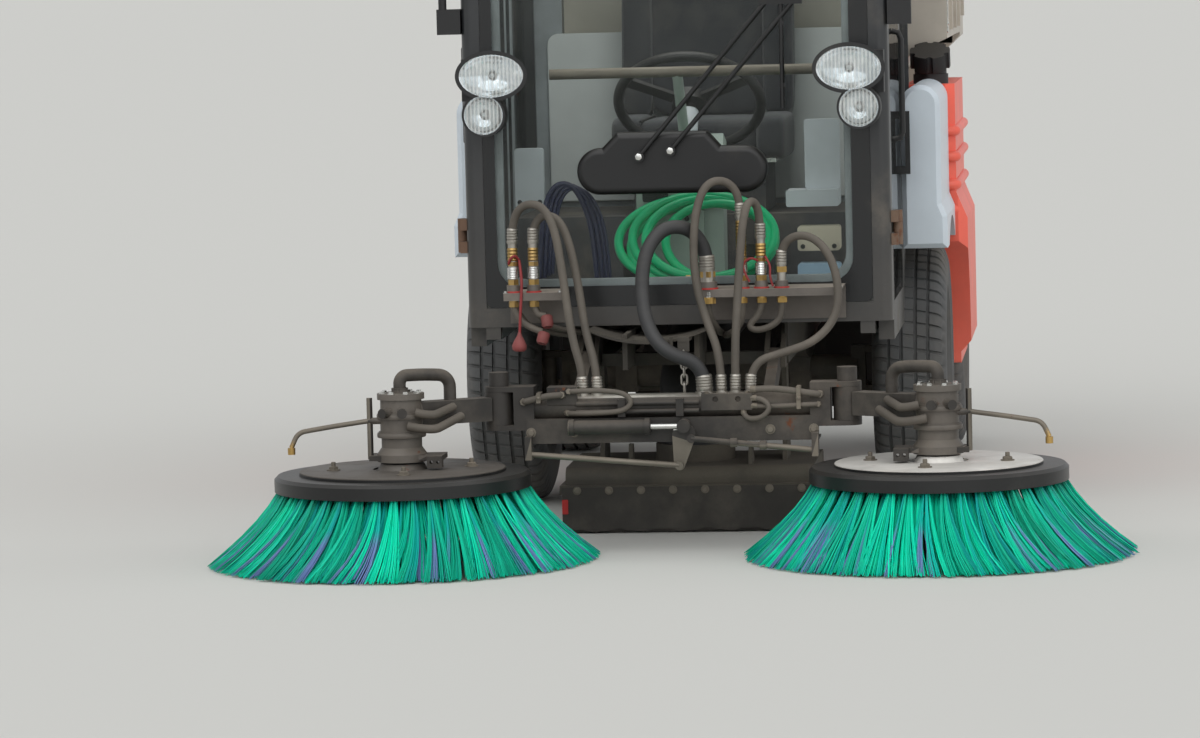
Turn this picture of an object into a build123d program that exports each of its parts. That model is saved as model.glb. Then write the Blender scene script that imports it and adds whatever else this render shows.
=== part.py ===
from build123d import *
from math import atan2, cos, degrees, radians, sin, tan
import os

# Compact street sweeper with two front side brushes, a glazed forward cab, side water
# tanks and a tipping hopper. Millimetres, +Z up, front towards -Y, +X the vehicle's left.
# The origin is on the ground in the middle of the length and the width.

os.makedirs("parts", exist_ok=True)

# Wheels and axles
wheel_r = 333.0
tyre_w = 195.0
rim_r = 178.0
rim_wall = 8.0
wheel_x = 527.5
front_axle_y = 60.0
rear_axle_y = 1380.0
stub_r = 20.0
running_gap = 0.05
hub_r = 46.0
axle_tube_r = 38.0
kingpin_x = 440.0
kingpin_r = 10.0
knuckle_r = 22.0
knuckle_h = 85.0
kingpin_lug_h = 16.0
thrust_gap = 1.5
brake_r = 128.0
steering_arm_len = 130.0
steering_arm_z = 292.0
tie_rod_r = 11.0
tie_pin_r = 8.0

# Chassis
rail_x = 230.0
rail_w = 60.0
rail_h = 110.0
rail_wall = 8.0
rail_z = 425.0
rail_front_y = -858.0
rail_rear_y = 1700.0
outrigger_w = 50.0
leaf_w = 56.0
leaf_half_span = 300.0
leaf_t = 26.0

# Cab
cab_front_y = -930.0
cab_rear_y = 280.0
cab_half_w = 522.0
cab_bottom_z = 530.0
cab_sill_z = 577.0
cab_header_z = 1815.0
cab_top_z = 1885.0
post_w = 47.0
post_d = 50.0
rear_post_y = -310.0
floor_t = 23.0
seat_deck_z = 765.0
arch_r = 400.0
roof_t = 65.0
roof_lip = 12.0
glass_t = 6.0
glass_lap = 12.0

# Doors
door_gap = 6.0
door_t = 38.0
door_bottom_z = 480.0
door_stile = 42.0
door_glass_bottom = 585.0
hinge_r = 12.0
hinge_pin_r = 5.0
hinge_len = 84.0
hinge_stand_off = 14.0
door_hinge_z = (755.0, 1640.0)

# Water tanks and fenders
tank_lap = 12.0
tank_w = 130.0
tank_flare = 28.0
tank_in_x = cab_half_w - tank_lap
tank_out_x = tank_in_x + tank_w
tank_flare_x = tank_out_x + tank_flare
tank_front_y = 312.0
tank_rear_y = 1000.0
tank_top_z = 1070.0
tank_bottom_z = 310.0
tank_flare_z = 780.0
rib_r = 14.0
rib_z = (944.0, 875.0, 800.0, 735.0)
fender_w = 100.0
fender_flare = 14.0
fender_out_x = cab_half_w + fender_w
fender_flare_x = fender_out_x + fender_flare
fender_top_z = 1085.0
fender_bottom_z = 667.0
fender_flare_z = (748.0, 782.0)
cap_x = tank_in_x + tank_w / 2
cap_y_back = 78.0
cap_lean = 24.0
cap_r = 54.0
cap_neck_r = 43.0
cap_h = 46.0
fender_front_y = -300.0
fender_rear_y = 298.0
rear_guard_r = 372.0
guard_t = 5.0
guard_low_z = 575.0

# Hopper, tailgate and tipping gear
hopper_half_w = 620.0
hopper_front_y = 430.0
hopper_rear_y = 1480.0
hopper_bottom_z = 1000.0
hopper_top_z = 1890.0
hopper_wall = 22.0
hopper_bend_z = (1140.0, 1190.0)
hopper_bend_w = 110.0
hopper_round = 70.0
hopper_rib_w = 46.0
hopper_rib_t = 9.0
tailgate_gap = 6.0
tailgate_rear_y = 1779.0
gate_ear_x = 400.0
gate_ear_t = 14.0
gate_pin_len = 40.0
gate_corner_w = 300.0
tip_y = 1545.0
tip_z = 935.0
tip_pin_r = 14.0
tip_lug_t = 24.0
tip_lug_r = 34.0
gate_hinge_z = 1912.0
gate_pin_r = 9.0
cyl_x = rail_x + rail_w / 2 + 85
cyl_base_y = 1180.0
cyl_base_z = 450.0
cyl_eye_y = 1150.0
cyl_eye_z = 945.0
barrel_r = 34.0
cyl_rod_r = 18.0
cyl_eye_r = 26.0
cyl_eye_hole_r = 13.0
cyl_ear_t = 10.0
cyl_eye_half = 12.0
cyl_foot_half = 15.0
cyl_ear_gap = 8.0
hopper_floor_half = cyl_x + 55

# Engine, suction duct and mouth
engine_half_w = 190.0
engine_front_y = 650.0
engine_rear_y = 1150.0
engine_bottom_z = 455.0
engine_top_z = 950.0
duct_r = 90.0
duct_wall = 4.0
mouth_y = -560.0
mouth_half_w = 310.0
mouth_front_y = -765.0
mouth_rear_y = -350.0
mouth_top_z = 163.0
mouth_bottom_z = 60.0
mouth_wall = 6.0
skirt_t = 8.0

# Front brush carrier
lift_y = -890.0
lift_z = 440.0
lift_pin_r = 12.0
beam_y = -1170.0
beam_z = 353.0
beam_r = 30.0
beam_half = 372.0
arm_pivot_x = 420.0
pivot_pin_r = 15.0
pivot_hub_r = 34.0
pivot_hub_h = 80.0
pivot_plate_t = 12.0
channel_top_z = 321.0
channel_bottom_z = 268.0
channel_front_y = -1205.0
channel_rear_y = -1120.0
channel_half = 352.0

# Brushes
brush_x = 640.0
brush_y = -1304.0
brush_r = 475.0
ring_r = 307.0
ring_in_r = 250.0
ring_top_z = 215.0
ring_bottom_z = 178.0
disc_t = 6.0
tuft_count = 30
bristle_floor_gap = 2.0
motor_r = 52.5
motor_bottom_z = 242.0
motor_top_z = 405.0
shaft_r = 15.0

# Couplings, hoses and lamps
plate_z = 618.0
plate_t = 5.0
coupler_y = -1050.0
hose_d = 20.0
conduit_d = 34.0
lamp_y = -1058.0


def finish(solid, name):
    """Label a finished piece and write it to its own file."""
    solid.label = name
    export_step(solid, f"parts/{name}.step")


def block(x, y, z, mode=Mode.ADD):
    """A box between two values on each axis."""
    centre = [(a[0] + a[1]) / 2 for a in (x, y, z)]
    with Locations(tuple(centre)):
        Box(x[1] - x[0], y[1] - y[0], z[1] - z[0], mode=mode)


def bar(start, end, r, mode=Mode.ADD):
    """A round bar from one point to another."""
    line = Vector(*end) - Vector(*start)
    with Locations(Plane(origin=start, z_dir=line).location):
        Cylinder(r, line.length, align=(Align.CENTER, Align.CENTER, Align.MIN), mode=mode)


def plate_yz(points, x, mode=Mode.ADD):
    """A flat plate with an outline in Y and Z, from x[0] to x[1]."""
    with BuildSketch(Plane.YZ.offset(x[0])) as outline:
        with BuildLine():
            Polyline(*points, close=True)
        make_face()
    extrude(outline.sketch, amount=x[1] - x[0], mode=mode)


def plate_xz(points, y, mode=Mode.ADD):
    """A flat plate with an outline in X and Z, from y[0] to y[1]."""
    with BuildSketch(Plane.XZ.offset(-y[0])) as outline:
        with BuildLine():
            Polyline(*points, close=True)
        make_face()
    extrude(outline.sketch, amount=y[0] - y[1], mode=mode)


def plate_xy(points, z, mode=Mode.ADD):
    """A flat plate with an outline in X and Y, from z[0] to z[1]."""
    with BuildSketch(Plane.XY.offset(z[0])) as outline:
        with BuildLine():
            Polyline(*points, close=True)
        make_face()
    extrude(outline.sketch, amount=z[1] - z[0], mode=mode)


def both(solid, left_name, right_name):
    """Write a piece of the left side and its mirror image of the right side."""
    finish(solid, left_name)
    finish(mirror(solid, Plane.YZ), right_name)


def turn_radii(points, share=0.45):
    """The arc at each corner, as large as its two runs allow."""
    vectors = [Vector(*p) for p in points]
    radii = []
    for a, b, c in zip(vectors, vectors[1:], vectors[2:]):
        turn = radians((b - a).get_angle(c - b))
        radii.append(share * min((b - a).length, (c - b).length) / tan(turn / 2))
    return radii


def pipe(points, r, wall=0.0, bend=None):
    """A round pipe or rod along straight runs joined by tangent arcs."""
    radii = turn_radii(points)
    if bend:
        radii = [min(bend, x) for x in radii]
    with BuildLine() as route:
        FilletPolyline(*points, radius=radii)
    wire = route.wires()[0]
    with BuildSketch(Plane(origin=wire @ 0, z_dir=wire % 0)) as ring:
        Circle(r)
        if wall:
            Circle(r - wall, mode=Mode.SUBTRACT)
    sweep(sections=ring.sketch, path=wire)
    return wire.length, radii


# Chassis frame: two channel rails, cross-members, outriggers, hopper posts and front ears

rail_top_z = rail_z + rail_h
rail_in_x = rail_x - rail_w / 2
rail_out_x = rail_x + rail_w / 2
ear_t = 12.0
lift_arm_t = 26.0
ear_gap = 0.5
cab_mount_y = (-700.0, -380.0)
cross_y = (-845.0, 700.0, 1080.0, 1640.0)
cross_w = 40.0
outrigger_y = (540.0, 760.0)
rest_gap = 0.3
rest_post_y = 600.0
rest_post_w = 60.0
tray_x = (-214.0, 87.0)
tray_z = (494.0, 529.0)
tray_t = 6.0
tray_front_y = -1085.0
tray_leg_x = (-125.0, 50.0)
tray_tab_x = (-8.0, 20.0)
chain_x = 27.0
chain_y = -1146.0
tongue_w = 28.0
tongue_z = (504.0, 514.0)
chain_eye_h = 24.0
chain_high_z = tongue_z[0] - chain_eye_h
cyl_bracket_t = 20.0
cyl_pin_r = 12.0

with BuildPart() as chassis_frame:
    for side in (-1, 1):
        inner, outer = side * rail_in_x, side * rail_out_x
        web = outer - side * rail_wall
        block(sorted((inner, outer)), (rail_front_y, rail_rear_y), (rail_z, rail_top_z))
        block(
            sorted((inner, web)),
            (rail_front_y, rail_rear_y),
            (rail_z + rail_wall, rail_top_z - rail_wall),
            mode=Mode.SUBTRACT,
        )
        # Ears of the brush carrier's pivot
        for near in (rail_x - lift_arm_t / 2 - ear_gap - ear_t, rail_x + lift_arm_t / 2 + ear_gap):
            plate_yz(
                [
                    (rail_front_y + 60, rail_z),
                    (lift_y - 22, lift_z - 22),
                    (lift_y - 22, lift_z + 22),
                    (rail_front_y + 60, rail_top_z),
                ],
                sorted((side * near, side * (near + ear_t))),
            )
        bar(
            (side * (rail_x - lift_arm_t / 2 - ear_gap - ear_t), lift_y, lift_z),
            (side * (rail_x + lift_arm_t / 2 + ear_gap + ear_t), lift_y, lift_z),
            lift_pin_r,
        )
        for y in outrigger_y:
            block(
                sorted((side * rail_out_x, side * tank_in_x)),
                (y - outrigger_w / 2, y + outrigger_w / 2),
                (rail_z + 20, rail_z + 70),
            )
        # Post that the lowered hopper rests on
        block(
            sorted((side * (rail_x - rest_post_w / 2), side * (rail_x + rest_post_w / 2))),
            (rest_post_y - rest_post_w / 2, rest_post_y + rest_post_w / 2),
            (rail_top_z, hopper_bottom_z - rest_gap),
        )
        # Tipping pivot post with its eye
        plate_yz(
            [
                (tip_y - 90, rail_top_z),
                (tip_y + 70, rail_top_z),
                (tip_y + 26, tip_z - 20),
                (tip_y - 26, tip_z - 20),
            ],
            sorted((side * (rail_x - tip_lug_t / 2), side * (rail_x + tip_lug_t / 2))),
        )
        bar(
            (side * (rail_x - tip_lug_t / 2), tip_y, tip_z),
            (side * (rail_x + tip_lug_t / 2), tip_y, tip_z),
            tip_lug_r,
        )
        bar(
            (side * (rail_x - tip_lug_t / 2), tip_y, tip_z),
            (side * (rail_x + tip_lug_t / 2), tip_y, tip_z),
            tip_pin_r + running_gap,
            mode=Mode.SUBTRACT,
        )
        # Bracket and pin of the tipping cylinder's foot
        plate_yz(
            [
                (cyl_base_y - 70, rail_z),
                (cyl_base_y + 70, rail_z),
                (cyl_base_y + 30, rail_top_z),
                (cyl_base_y - 30, rail_top_z),
            ],
            sorted((side * rail_out_x, side * (rail_out_x + cyl_bracket_t))),
        )
        bar(
            (side * rail_out_x, cyl_base_y, cyl_base_z),
            (side * (cyl_x + cyl_foot_half + 1), cyl_base_y, cyl_base_z),
            cyl_pin_r,
        )
    for y in cross_y:
        # The front one is bolted in between the rails, as it carries the tray
        half = rail_in_x - (rest_gap if y == cross_y[0] else 0)
        block((-half, half), (y - cross_w / 2, y + cross_w / 2), (rail_z, engine_bottom_z))
    # Curved tray under the cab's front edge, with the tongue that the beam's chain hangs from
    tray_mid = (tray_x[0] + tray_x[1]) / 2
    with BuildSketch(Plane.XZ.offset(-tray_front_y)) as tray:
        with BuildLine():
            low_arc = ThreePointArc((tray_x[0], tray_z[1]), (tray_mid, tray_z[0]), (tray_x[1], tray_z[1]))
            Line(low_arc @ 1, (tray_x[1] - tray_t, tray_z[1]))
            ThreePointArc(
                (tray_x[1] - tray_t, tray_z[1]),
                (tray_mid, tray_z[0] + tray_t),
                (tray_x[0] + tray_t, tray_z[1]),
            )
            Line((tray_x[0] + tray_t, tray_z[1]), low_arc @ 0)
        make_face()
    extrude(tray.sketch, amount=tray_front_y - rail_front_y + rest_gap)
    for x in tray_leg_x:
        block(
            (x - tray_t, x + tray_t),
            (tray_front_y + 40, cross_y[0] + cross_w / 2),
            (rail_z + 4, tray_z[0] + 3.5 * tray_t),
        )
    for x in tray_tab_x:
        block((x - 4, x + 4), (tray_front_y - 4, tray_front_y + 2), (tray_z[0] - 6, tray_z[0] + 16))
    block(
        (chain_x - tongue_w / 2, chain_x + tongue_w / 2),
        (chain_y - 6, tray_front_y + 20),
        tongue_z,
    )
    block(
        (chain_x - tongue_w / 2, chain_x + tongue_w / 2),
        (chain_y - 4, chain_y + 4),
        (chain_high_z, tongue_z[0]),
    )
finish(chassis_frame.part, "chassis_frame")


# Front axle with kingpin forks and leaf springs, and the driven rear axle


def leaf_springs(axle_y):
    """Two leaf springs under the rails, clamped on the axle tube."""
    for side in (-1, 1):
        x = sorted((side * (rail_x - leaf_w / 2), side * (rail_x + leaf_w / 2)))
        low = wheel_r + axle_tube_r - 4
        with BuildSketch(Plane.YZ.offset(x[0])) as leaf:
            with BuildLine():
                outer = ThreePointArc(
                    (axle_y - leaf_half_span, rail_z),
                    (axle_y, low),
                    (axle_y + leaf_half_span, rail_z),
                )
                Line(outer @ 1, (axle_y + leaf_half_span - 60, rail_z))
                ThreePointArc(
                    (axle_y + leaf_half_span - 60, rail_z),
                    (axle_y, low + leaf_t),
                    (axle_y - leaf_half_span + 60, rail_z),
                )
                Line((axle_y - leaf_half_span + 60, rail_z), outer @ 0)
            make_face()
        extrude(leaf.sketch, amount=x[1] - x[0])
        block(x, (axle_y - 45, axle_y + 45), (wheel_r - axle_tube_r - 12, low + 10))


lug_z = knuckle_h / 2 + thrust_gap
fork_reach = kingpin_r + 14
fork_back = knuckle_r + 16

with BuildPart() as front_axle:
    bar((-kingpin_x + 60, front_axle_y, wheel_r), (kingpin_x - 60, front_axle_y, wheel_r), axle_tube_r)
    leaf_springs(front_axle_y)
    for side in (-1, 1):
        block(
            sorted((side * (kingpin_x - fork_back - 38), side * (kingpin_x - fork_back))),
            (front_axle_y - 26, front_axle_y + 26),
            (wheel_r - lug_z - kingpin_lug_h, wheel_r + lug_z + kingpin_lug_h),
        )
        for z in (wheel_r + lug_z, wheel_r - lug_z - kingpin_lug_h):
            block(
                sorted((side * (kingpin_x - fork_back - 2), side * kingpin_x)),
                (front_axle_y - fork_reach, front_axle_y + fork_reach),
                (z, z + kingpin_lug_h),
            )
            bar(
                (side * kingpin_x, front_axle_y, z),
                (side * kingpin_x, front_axle_y, z + kingpin_lug_h),
                fork_reach,
            )
        bar(
            (side * kingpin_x, front_axle_y, wheel_r - lug_z),
            (side * kingpin_x, front_axle_y, wheel_r + lug_z),
            kingpin_r,
        )
finish(front_axle.part, "front_axle")

stub_end_x = wheel_x + 62
brake_x = (kingpin_x + 34, kingpin_x + 44)
arm_end_y = front_axle_y + steering_arm_len
tie_x = kingpin_x
arm_half = 12.0
tie_boss_h = 22.0

with BuildPart() as knuckle:
    bar(
        (kingpin_x, front_axle_y, wheel_r - knuckle_h / 2),
        (kingpin_x, front_axle_y, wheel_r + knuckle_h / 2),
        knuckle_r,
    )
    bar((kingpin_x, front_axle_y, wheel_r), (stub_end_x, front_axle_y, wheel_r), stub_r)
    bar((brake_x[0], front_axle_y, wheel_r), (brake_x[1], front_axle_y, wheel_r), brake_r)
    bar((kingpin_x + 12, front_axle_y, wheel_r), (brake_x[0], front_axle_y, wheel_r), 30)
    # Steering arm to the rear, with the tie rod's pin
    plate_xy(
        [
            (kingpin_x - arm_half, front_axle_y + 10),
            (kingpin_x + arm_half, front_axle_y + 10),
            (tie_x + arm_half, arm_end_y),
            (tie_x - arm_half, arm_end_y),
        ],
        (steering_arm_z, steering_arm_z + 14),
    )
    bar((tie_x, arm_end_y, steering_arm_z), (tie_x, arm_end_y, steering_arm_z + 14), 15)
    bar(
        (tie_x, arm_end_y, steering_arm_z - tie_boss_h - 1),
        (tie_x, arm_end_y, steering_arm_z),
        tie_pin_r,
    )
    bar(
        (kingpin_x, front_axle_y, wheel_r - knuckle_h / 2),
        (kingpin_x, front_axle_y, wheel_r + knuckle_h / 2),
        kingpin_r + running_gap,
        mode=Mode.SUBTRACT,
    )
both(knuckle.part, "knuckle_left", "knuckle_right")

tie_z = steering_arm_z - tie_boss_h / 2 - 0.5
with BuildPart() as tie_rod:
    bar((-tie_x, arm_end_y, tie_z), (tie_x, arm_end_y, tie_z), tie_rod_r - 2)
    for side in (-1, 1):
        bar(
            (side * tie_x, arm_end_y, tie_z - tie_boss_h / 2 + 0.5),
            (side * tie_x, arm_end_y, tie_z + tie_boss_h / 2 - 0.5),
            tie_pin_r + 8,
        )
        # The right eye is the open pivot of the steering linkage
        play = running_gap if side > 0 else 0.3
        bar(
            (side * tie_x, arm_end_y, tie_z - tie_boss_h),
            (side * tie_x, arm_end_y, tie_z + tie_boss_h),
            tie_pin_r + play,
            mode=Mode.SUBTRACT,
        )
finish(tie_rod.part, "tie_rod")

diff_r = 105.0
with BuildPart() as rear_axle:
    bar((-stub_end_x, rear_axle_y, wheel_r), (stub_end_x, rear_axle_y, wheel_r), stub_r)
    bar((-brake_x[0], rear_axle_y, wheel_r), (brake_x[0], rear_axle_y, wheel_r), axle_tube_r + 4)
    with Locations((0, rear_axle_y, wheel_r)):
        Sphere(diff_r)
    bar((0, rear_axle_y - diff_r - 40, wheel_r), (0, rear_axle_y, wheel_r), 42)
    leaf_springs(rear_axle_y)
    for side in (-1, 1):
        bar(
            (side * brake_x[0], rear_axle_y, wheel_r),
            (side * brake_x[1], rear_axle_y, wheel_r),
            brake_r,
        )
finish(rear_axle.part, "rear_axle")

# Wheels: a pressed steel rim with a dished disc and a round-shouldered van tyre

half_tyre = tyre_w / 2
rim_half = 70.0
disc_x = 28.0
hand_hole_r = 15.0

with BuildPart() as rim:
    with BuildSketch(Plane.XY) as rim_profile:
        with BuildLine():
            Polyline(
                (-rim_half, rim_r + 11),
                (-rim_half + 8, rim_r + 11),
                (-rim_half + 14, rim_r),
                (-22, rim_r - 14),
                (22, rim_r - 14),
                (rim_half - 14, rim_r),
                (rim_half - 8, rim_r + 11),
                (rim_half, rim_r + 11),
                (rim_half, rim_r + 3),
                (rim_half - 8, rim_r - rim_wall),
                (26, rim_r - 14 - rim_wall),
                (disc_x + 14, rim_r - 34),
                (disc_x + 22, 96),
                (disc_x + 2, 74),
                (disc_x + 2, hub_r),
                (disc_x + 30, hub_r - 8),
                (disc_x + 30, stub_r + running_gap),
                (-40, stub_r + running_gap),
                (-40, hub_r),
                (disc_x - 8, hub_r),
                (disc_x - 8, 78),
                (disc_x + 12, 100),
                (disc_x + 4, rim_r - 36),
                (18, rim_r - 14 - rim_wall),
                (-26, rim_r - 14 - rim_wall),
                (-rim_half + 8, rim_r - rim_wall),
                (-rim_half, rim_r + 3),
                close=True,
            )
        make_face()
    revolve(axis=Axis.X)
    with Locations(Plane.YZ):
        with PolarLocations(118, 8):
            Cylinder(hand_hole_r, 200, mode=Mode.SUBTRACT)
        with PolarLocations(60, 5):
            Cylinder(5, 200, mode=Mode.SUBTRACT)

# Tyre section, from the bead outwards: distance from the tyre's side and radius
bead_gap = 0.5
tyre_side = (
    (half_tyre - rim_half - bead_gap, rim_r + 11.5),
    (3.0, rim_r + 42),
    (0.0, rim_r + 78),
    (5.0, wheel_r - 40),
    (17.0, wheel_r - 13),
    (36.0, wheel_r - 2),
    (62.0, wheel_r),
)
with BuildPart() as tyre:
    with BuildSketch(Plane.XY):
        with BuildLine():
            near = [(inset - half_tyre, r) for inset, r in tyre_side]
            Polyline(*near, *[(-x, r) for x, r in reversed(near)], close=True)
        make_face()
    revolve(axis=Axis.X)

wheel_places = {
    "front_left": (1, front_axle_y),
    "front_right": (-1, front_axle_y),
    "rear_left": (1, rear_axle_y),
    "rear_right": (-1, rear_axle_y),
}
for place, (side, y) in wheel_places.items():
    turn = 0 if side > 0 else 180
    spot = Location((side * wheel_x, y, wheel_r), (0, 0, turn))
    finish(rim.part.moved(spot), f"rim_{place}")
    finish(tyre.part.moved(spot), f"tyre_{place}")

# Cab frame: a welded cage of square posts, open at the front, the doors and the rear corners

inner_w = cab_half_w - post_w
inner_front = cab_front_y + post_d
inner_rear = cab_rear_y - post_d
quarter_front = rear_post_y + post_d
quarter_rear = inner_rear - 10
waist_z = 900.0
window_top_z = 1770.0
rear_window_z = (1160.0, 1750.0)
rear_window_half = 400.0
sill_in_x = cab_half_w - door_t - door_gap - 36

with BuildPart() as cab_frame:
    block((-cab_half_w, cab_half_w), (cab_front_y, cab_rear_y), (cab_bottom_z, cab_top_z))
    fillet(cab_frame.edges().filter_by(Axis.Z), 26)
    block(
        (-inner_w, inner_w), (inner_front, inner_rear), (cab_bottom_z - 1, cab_top_z + 1), mode=Mode.SUBTRACT
    )
    # Windscreen opening with its rebate
    block(
        (-inner_w, inner_w),
        (cab_front_y - 1, inner_front + 1),
        (cab_sill_z, cab_header_z),
        mode=Mode.SUBTRACT,
    )
    # Door openings down through the bottom
    block(
        (-cab_half_w - 1, cab_half_w + 1),
        (inner_front, rear_post_y),
        (cab_bottom_z - 1, cab_header_z),
        mode=Mode.SUBTRACT,
    )
    # Rear quarter windows and the rear window
    block(
        (-cab_half_w - 1, cab_half_w + 1),
        (quarter_front, quarter_rear),
        (waist_z, window_top_z),
        mode=Mode.SUBTRACT,
    )
    block(
        (-rear_window_half, rear_window_half),
        (inner_rear - 1, cab_rear_y + 1),
        rear_window_z,
        mode=Mode.SUBTRACT,
    )
    # Wheel arches
    bar(
        (-cab_half_w - 1, front_axle_y, wheel_r),
        (cab_half_w + 1, front_axle_y, wheel_r),
        arch_r,
        mode=Mode.SUBTRACT,
    )
    # Flange behind the windscreen that the glass is bonded to
    for side in (-1, 1):
        block(
            sorted((side * (inner_w - glass_lap), side * inner_w)),
            (cab_front_y + glass_t, inner_front),
            (cab_sill_z, cab_header_z),
        )
    for z in ((cab_sill_z, cab_sill_z + glass_lap), (cab_header_z - glass_lap, cab_header_z)):
        block((-inner_w, inner_w), (cab_front_y + glass_t, inner_front), z)
    # Inner sills behind the doors, and cab mounts across the rails
    for side in (-1, 1):
        block(
            sorted((side * sill_in_x, side * (cab_half_w - door_t - door_gap))),
            (cab_front_y + 4, rear_post_y + 4),
            (cab_bottom_z - 30, cab_sill_z),
        )
    for y in cab_mount_y:
        block(
            (-sill_in_x, sill_in_x),
            (y - 30, y + 30),
            (rail_top_z, cab_sill_z),
        )
    # Hinge halves on the front posts: a leaf, two knuckles and the pin
    hinge_x = cab_half_w + hinge_stand_off
    hinge_y = inner_front + door_gap / 2
    knuckle_len = hinge_len / 3
    for side in (-1, 1):
        for z in door_hinge_z:
            for low in (z - hinge_len / 2, z + hinge_len / 2 - knuckle_len):
                bar(
                    (side * hinge_x, hinge_y, low),
                    (side * hinge_x, hinge_y, low + knuckle_len),
                    hinge_r,
                )
                block(
                    sorted((side * (cab_half_w - 2), side * (hinge_x + 2))),
                    (hinge_y - 34, hinge_y - 4),
                    (low, low + knuckle_len),
                )
            bar(
                (side * hinge_x, hinge_y, z - knuckle_len / 2 - 1),
                (side * hinge_x, hinge_y, z + knuckle_len / 2 + 1),
                hinge_pin_r,
            )
finish(cab_frame.part, "cab_frame")

# Cab roof: a moulded cap with rounded edges

with BuildPart() as cab_roof:
    block(
        (-cab_half_w - roof_lip, cab_half_w + roof_lip),
        (cab_front_y - roof_lip, cab_rear_y + roof_lip),
        (cab_top_z, cab_top_z + roof_t),
    )
    fillet(cab_roof.edges().filter_by(Axis.Z), 60)
    fillet(cab_roof.faces().sort_by(Axis.Z)[-1].edges(), 40)
finish(cab_roof.part, "cab_roof")

# Cab glass: windscreen, two rear quarter windows and the rear window

with BuildPart() as cab_glass:
    block((-inner_w, inner_w), (cab_front_y, cab_front_y + glass_t), (cab_sill_z, cab_header_z))
    for side in (-1, 1):
        block(
            sorted((side * (cab_half_w - 20), side * (cab_half_w - 20 + glass_t))),
            (quarter_front, quarter_rear),
            (waist_z, window_top_z),
        )
    block(
        (-rear_window_half, rear_window_half),
        (cab_rear_y - 20, cab_rear_y - 20 + glass_t),
        rear_window_z,
    )
finish(cab_glass.part, "cab_glass")

# Cab floor with the raised seat deck over the wheel arches

floor_top_z = cab_sill_z + floor_t
deck_t = 20.0
with BuildPart() as cab_floor:
    block(
        (-sill_in_x - 30, sill_in_x + 30),
        (inner_front, rear_post_y),
        (cab_sill_z, floor_top_z),
    )
    block(
        (-inner_w, inner_w),
        (rear_post_y, rear_post_y + deck_t),
        (cab_sill_z, seat_deck_z),
    )
    block(
        (-inner_w, inner_w),
        (rear_post_y, inner_rear),
        (seat_deck_z - deck_t, seat_deck_z),
    )
    # Seat pedestal
    block((-170, 170), (-250, 120), (seat_deck_z, seat_deck_z + 130))
finish(cab_floor.part, "cab_floor")

# Dashboard post with pedals, instrument hood and the cross rail behind the windscreen

column_low = (0, -640, 900)
column_top = (0, -520, 1035)
rail_bar_z = 1145.0
rail_bar_y = -840.0
rail_bar_x = (-315.0, 333.0)
rail_bar_r = 13.0
with BuildPart() as dash:
    plate_yz(
        [(-695, floor_top_z), (-600, floor_top_z), (-580, 880), (-550, 960), (-650, 985), (-690, 900)],
        (-95, 95),
    )
    bar(column_low, column_top, 24)
    for x in (-170, 130):
        block((x, x + 60), (-680, -600), (floor_top_z, floor_top_z + 14))
        block((x + 10, x + 50), (-686, -670), (floor_top_z, floor_top_z + 110))
    bar((rail_bar_x[0], rail_bar_y, rail_bar_z), (rail_bar_x[1], rail_bar_y, rail_bar_z), rail_bar_r)
    bar((0, rail_bar_y, rail_bar_z), (0, column_low[1], column_low[2] + 50), rail_bar_r)
finish(dash.part, "dash")

wheel_rim_r = 180.0
wheel_grip_r = 13.0
column_dir = Vector(*column_top) - Vector(*column_low)
wheel_plane = Plane(origin=Vector(*column_top) + column_dir.normalized() * 32, z_dir=column_dir)
with BuildPart() as steering_wheel:
    with Locations(wheel_plane.location):
        Torus(wheel_rim_r, wheel_grip_r)
        Cylinder(45, 30)
        Cylinder(18, 62, align=(Align.CENTER, Align.CENTER, Align.MAX), mode=Mode.ADD)
        for turn in (0, 120, 240):
            with Locations(Location((0, 0, 0), (0, 0, turn))):
                with Locations((wheel_rim_r / 2, 0, 0)):
                    Box(wheel_rim_r, 30, 10)
    with Locations(wheel_plane.location):
        with Locations((0, 0, -31.7)):
            Cylinder(60, 40, align=(Align.CENTER, Align.CENTER, Align.MAX), mode=Mode.SUBTRACT)
finish(steering_wheel.part, "steering_wheel")

seat_w = 460.0
with BuildPart() as seat:
    seat_low = seat_deck_z + 130
    block((-seat_w / 2, seat_w / 2), (-300, 130), (seat_low, seat_low + 110))
    plate_yz(
        [
            (40, seat_low + 100),
            (150, seat_low + 100),
            (215, seat_low + 640),
            (130, seat_low + 640),
        ],
        (-seat_w / 2, seat_w / 2),
    )
    chamfer(seat.edges().filter_by(Axis.X).sort_by(Axis.Z)[-2:], 20)
finish(seat.part, "seat")

# Doors: glazed frames hinged on the front posts

door_front_y = inner_front + door_gap
door_rear_y = rear_post_y - door_gap
door_top_z = cab_header_z - door_gap
door_in_x = cab_half_w - door_t

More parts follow.
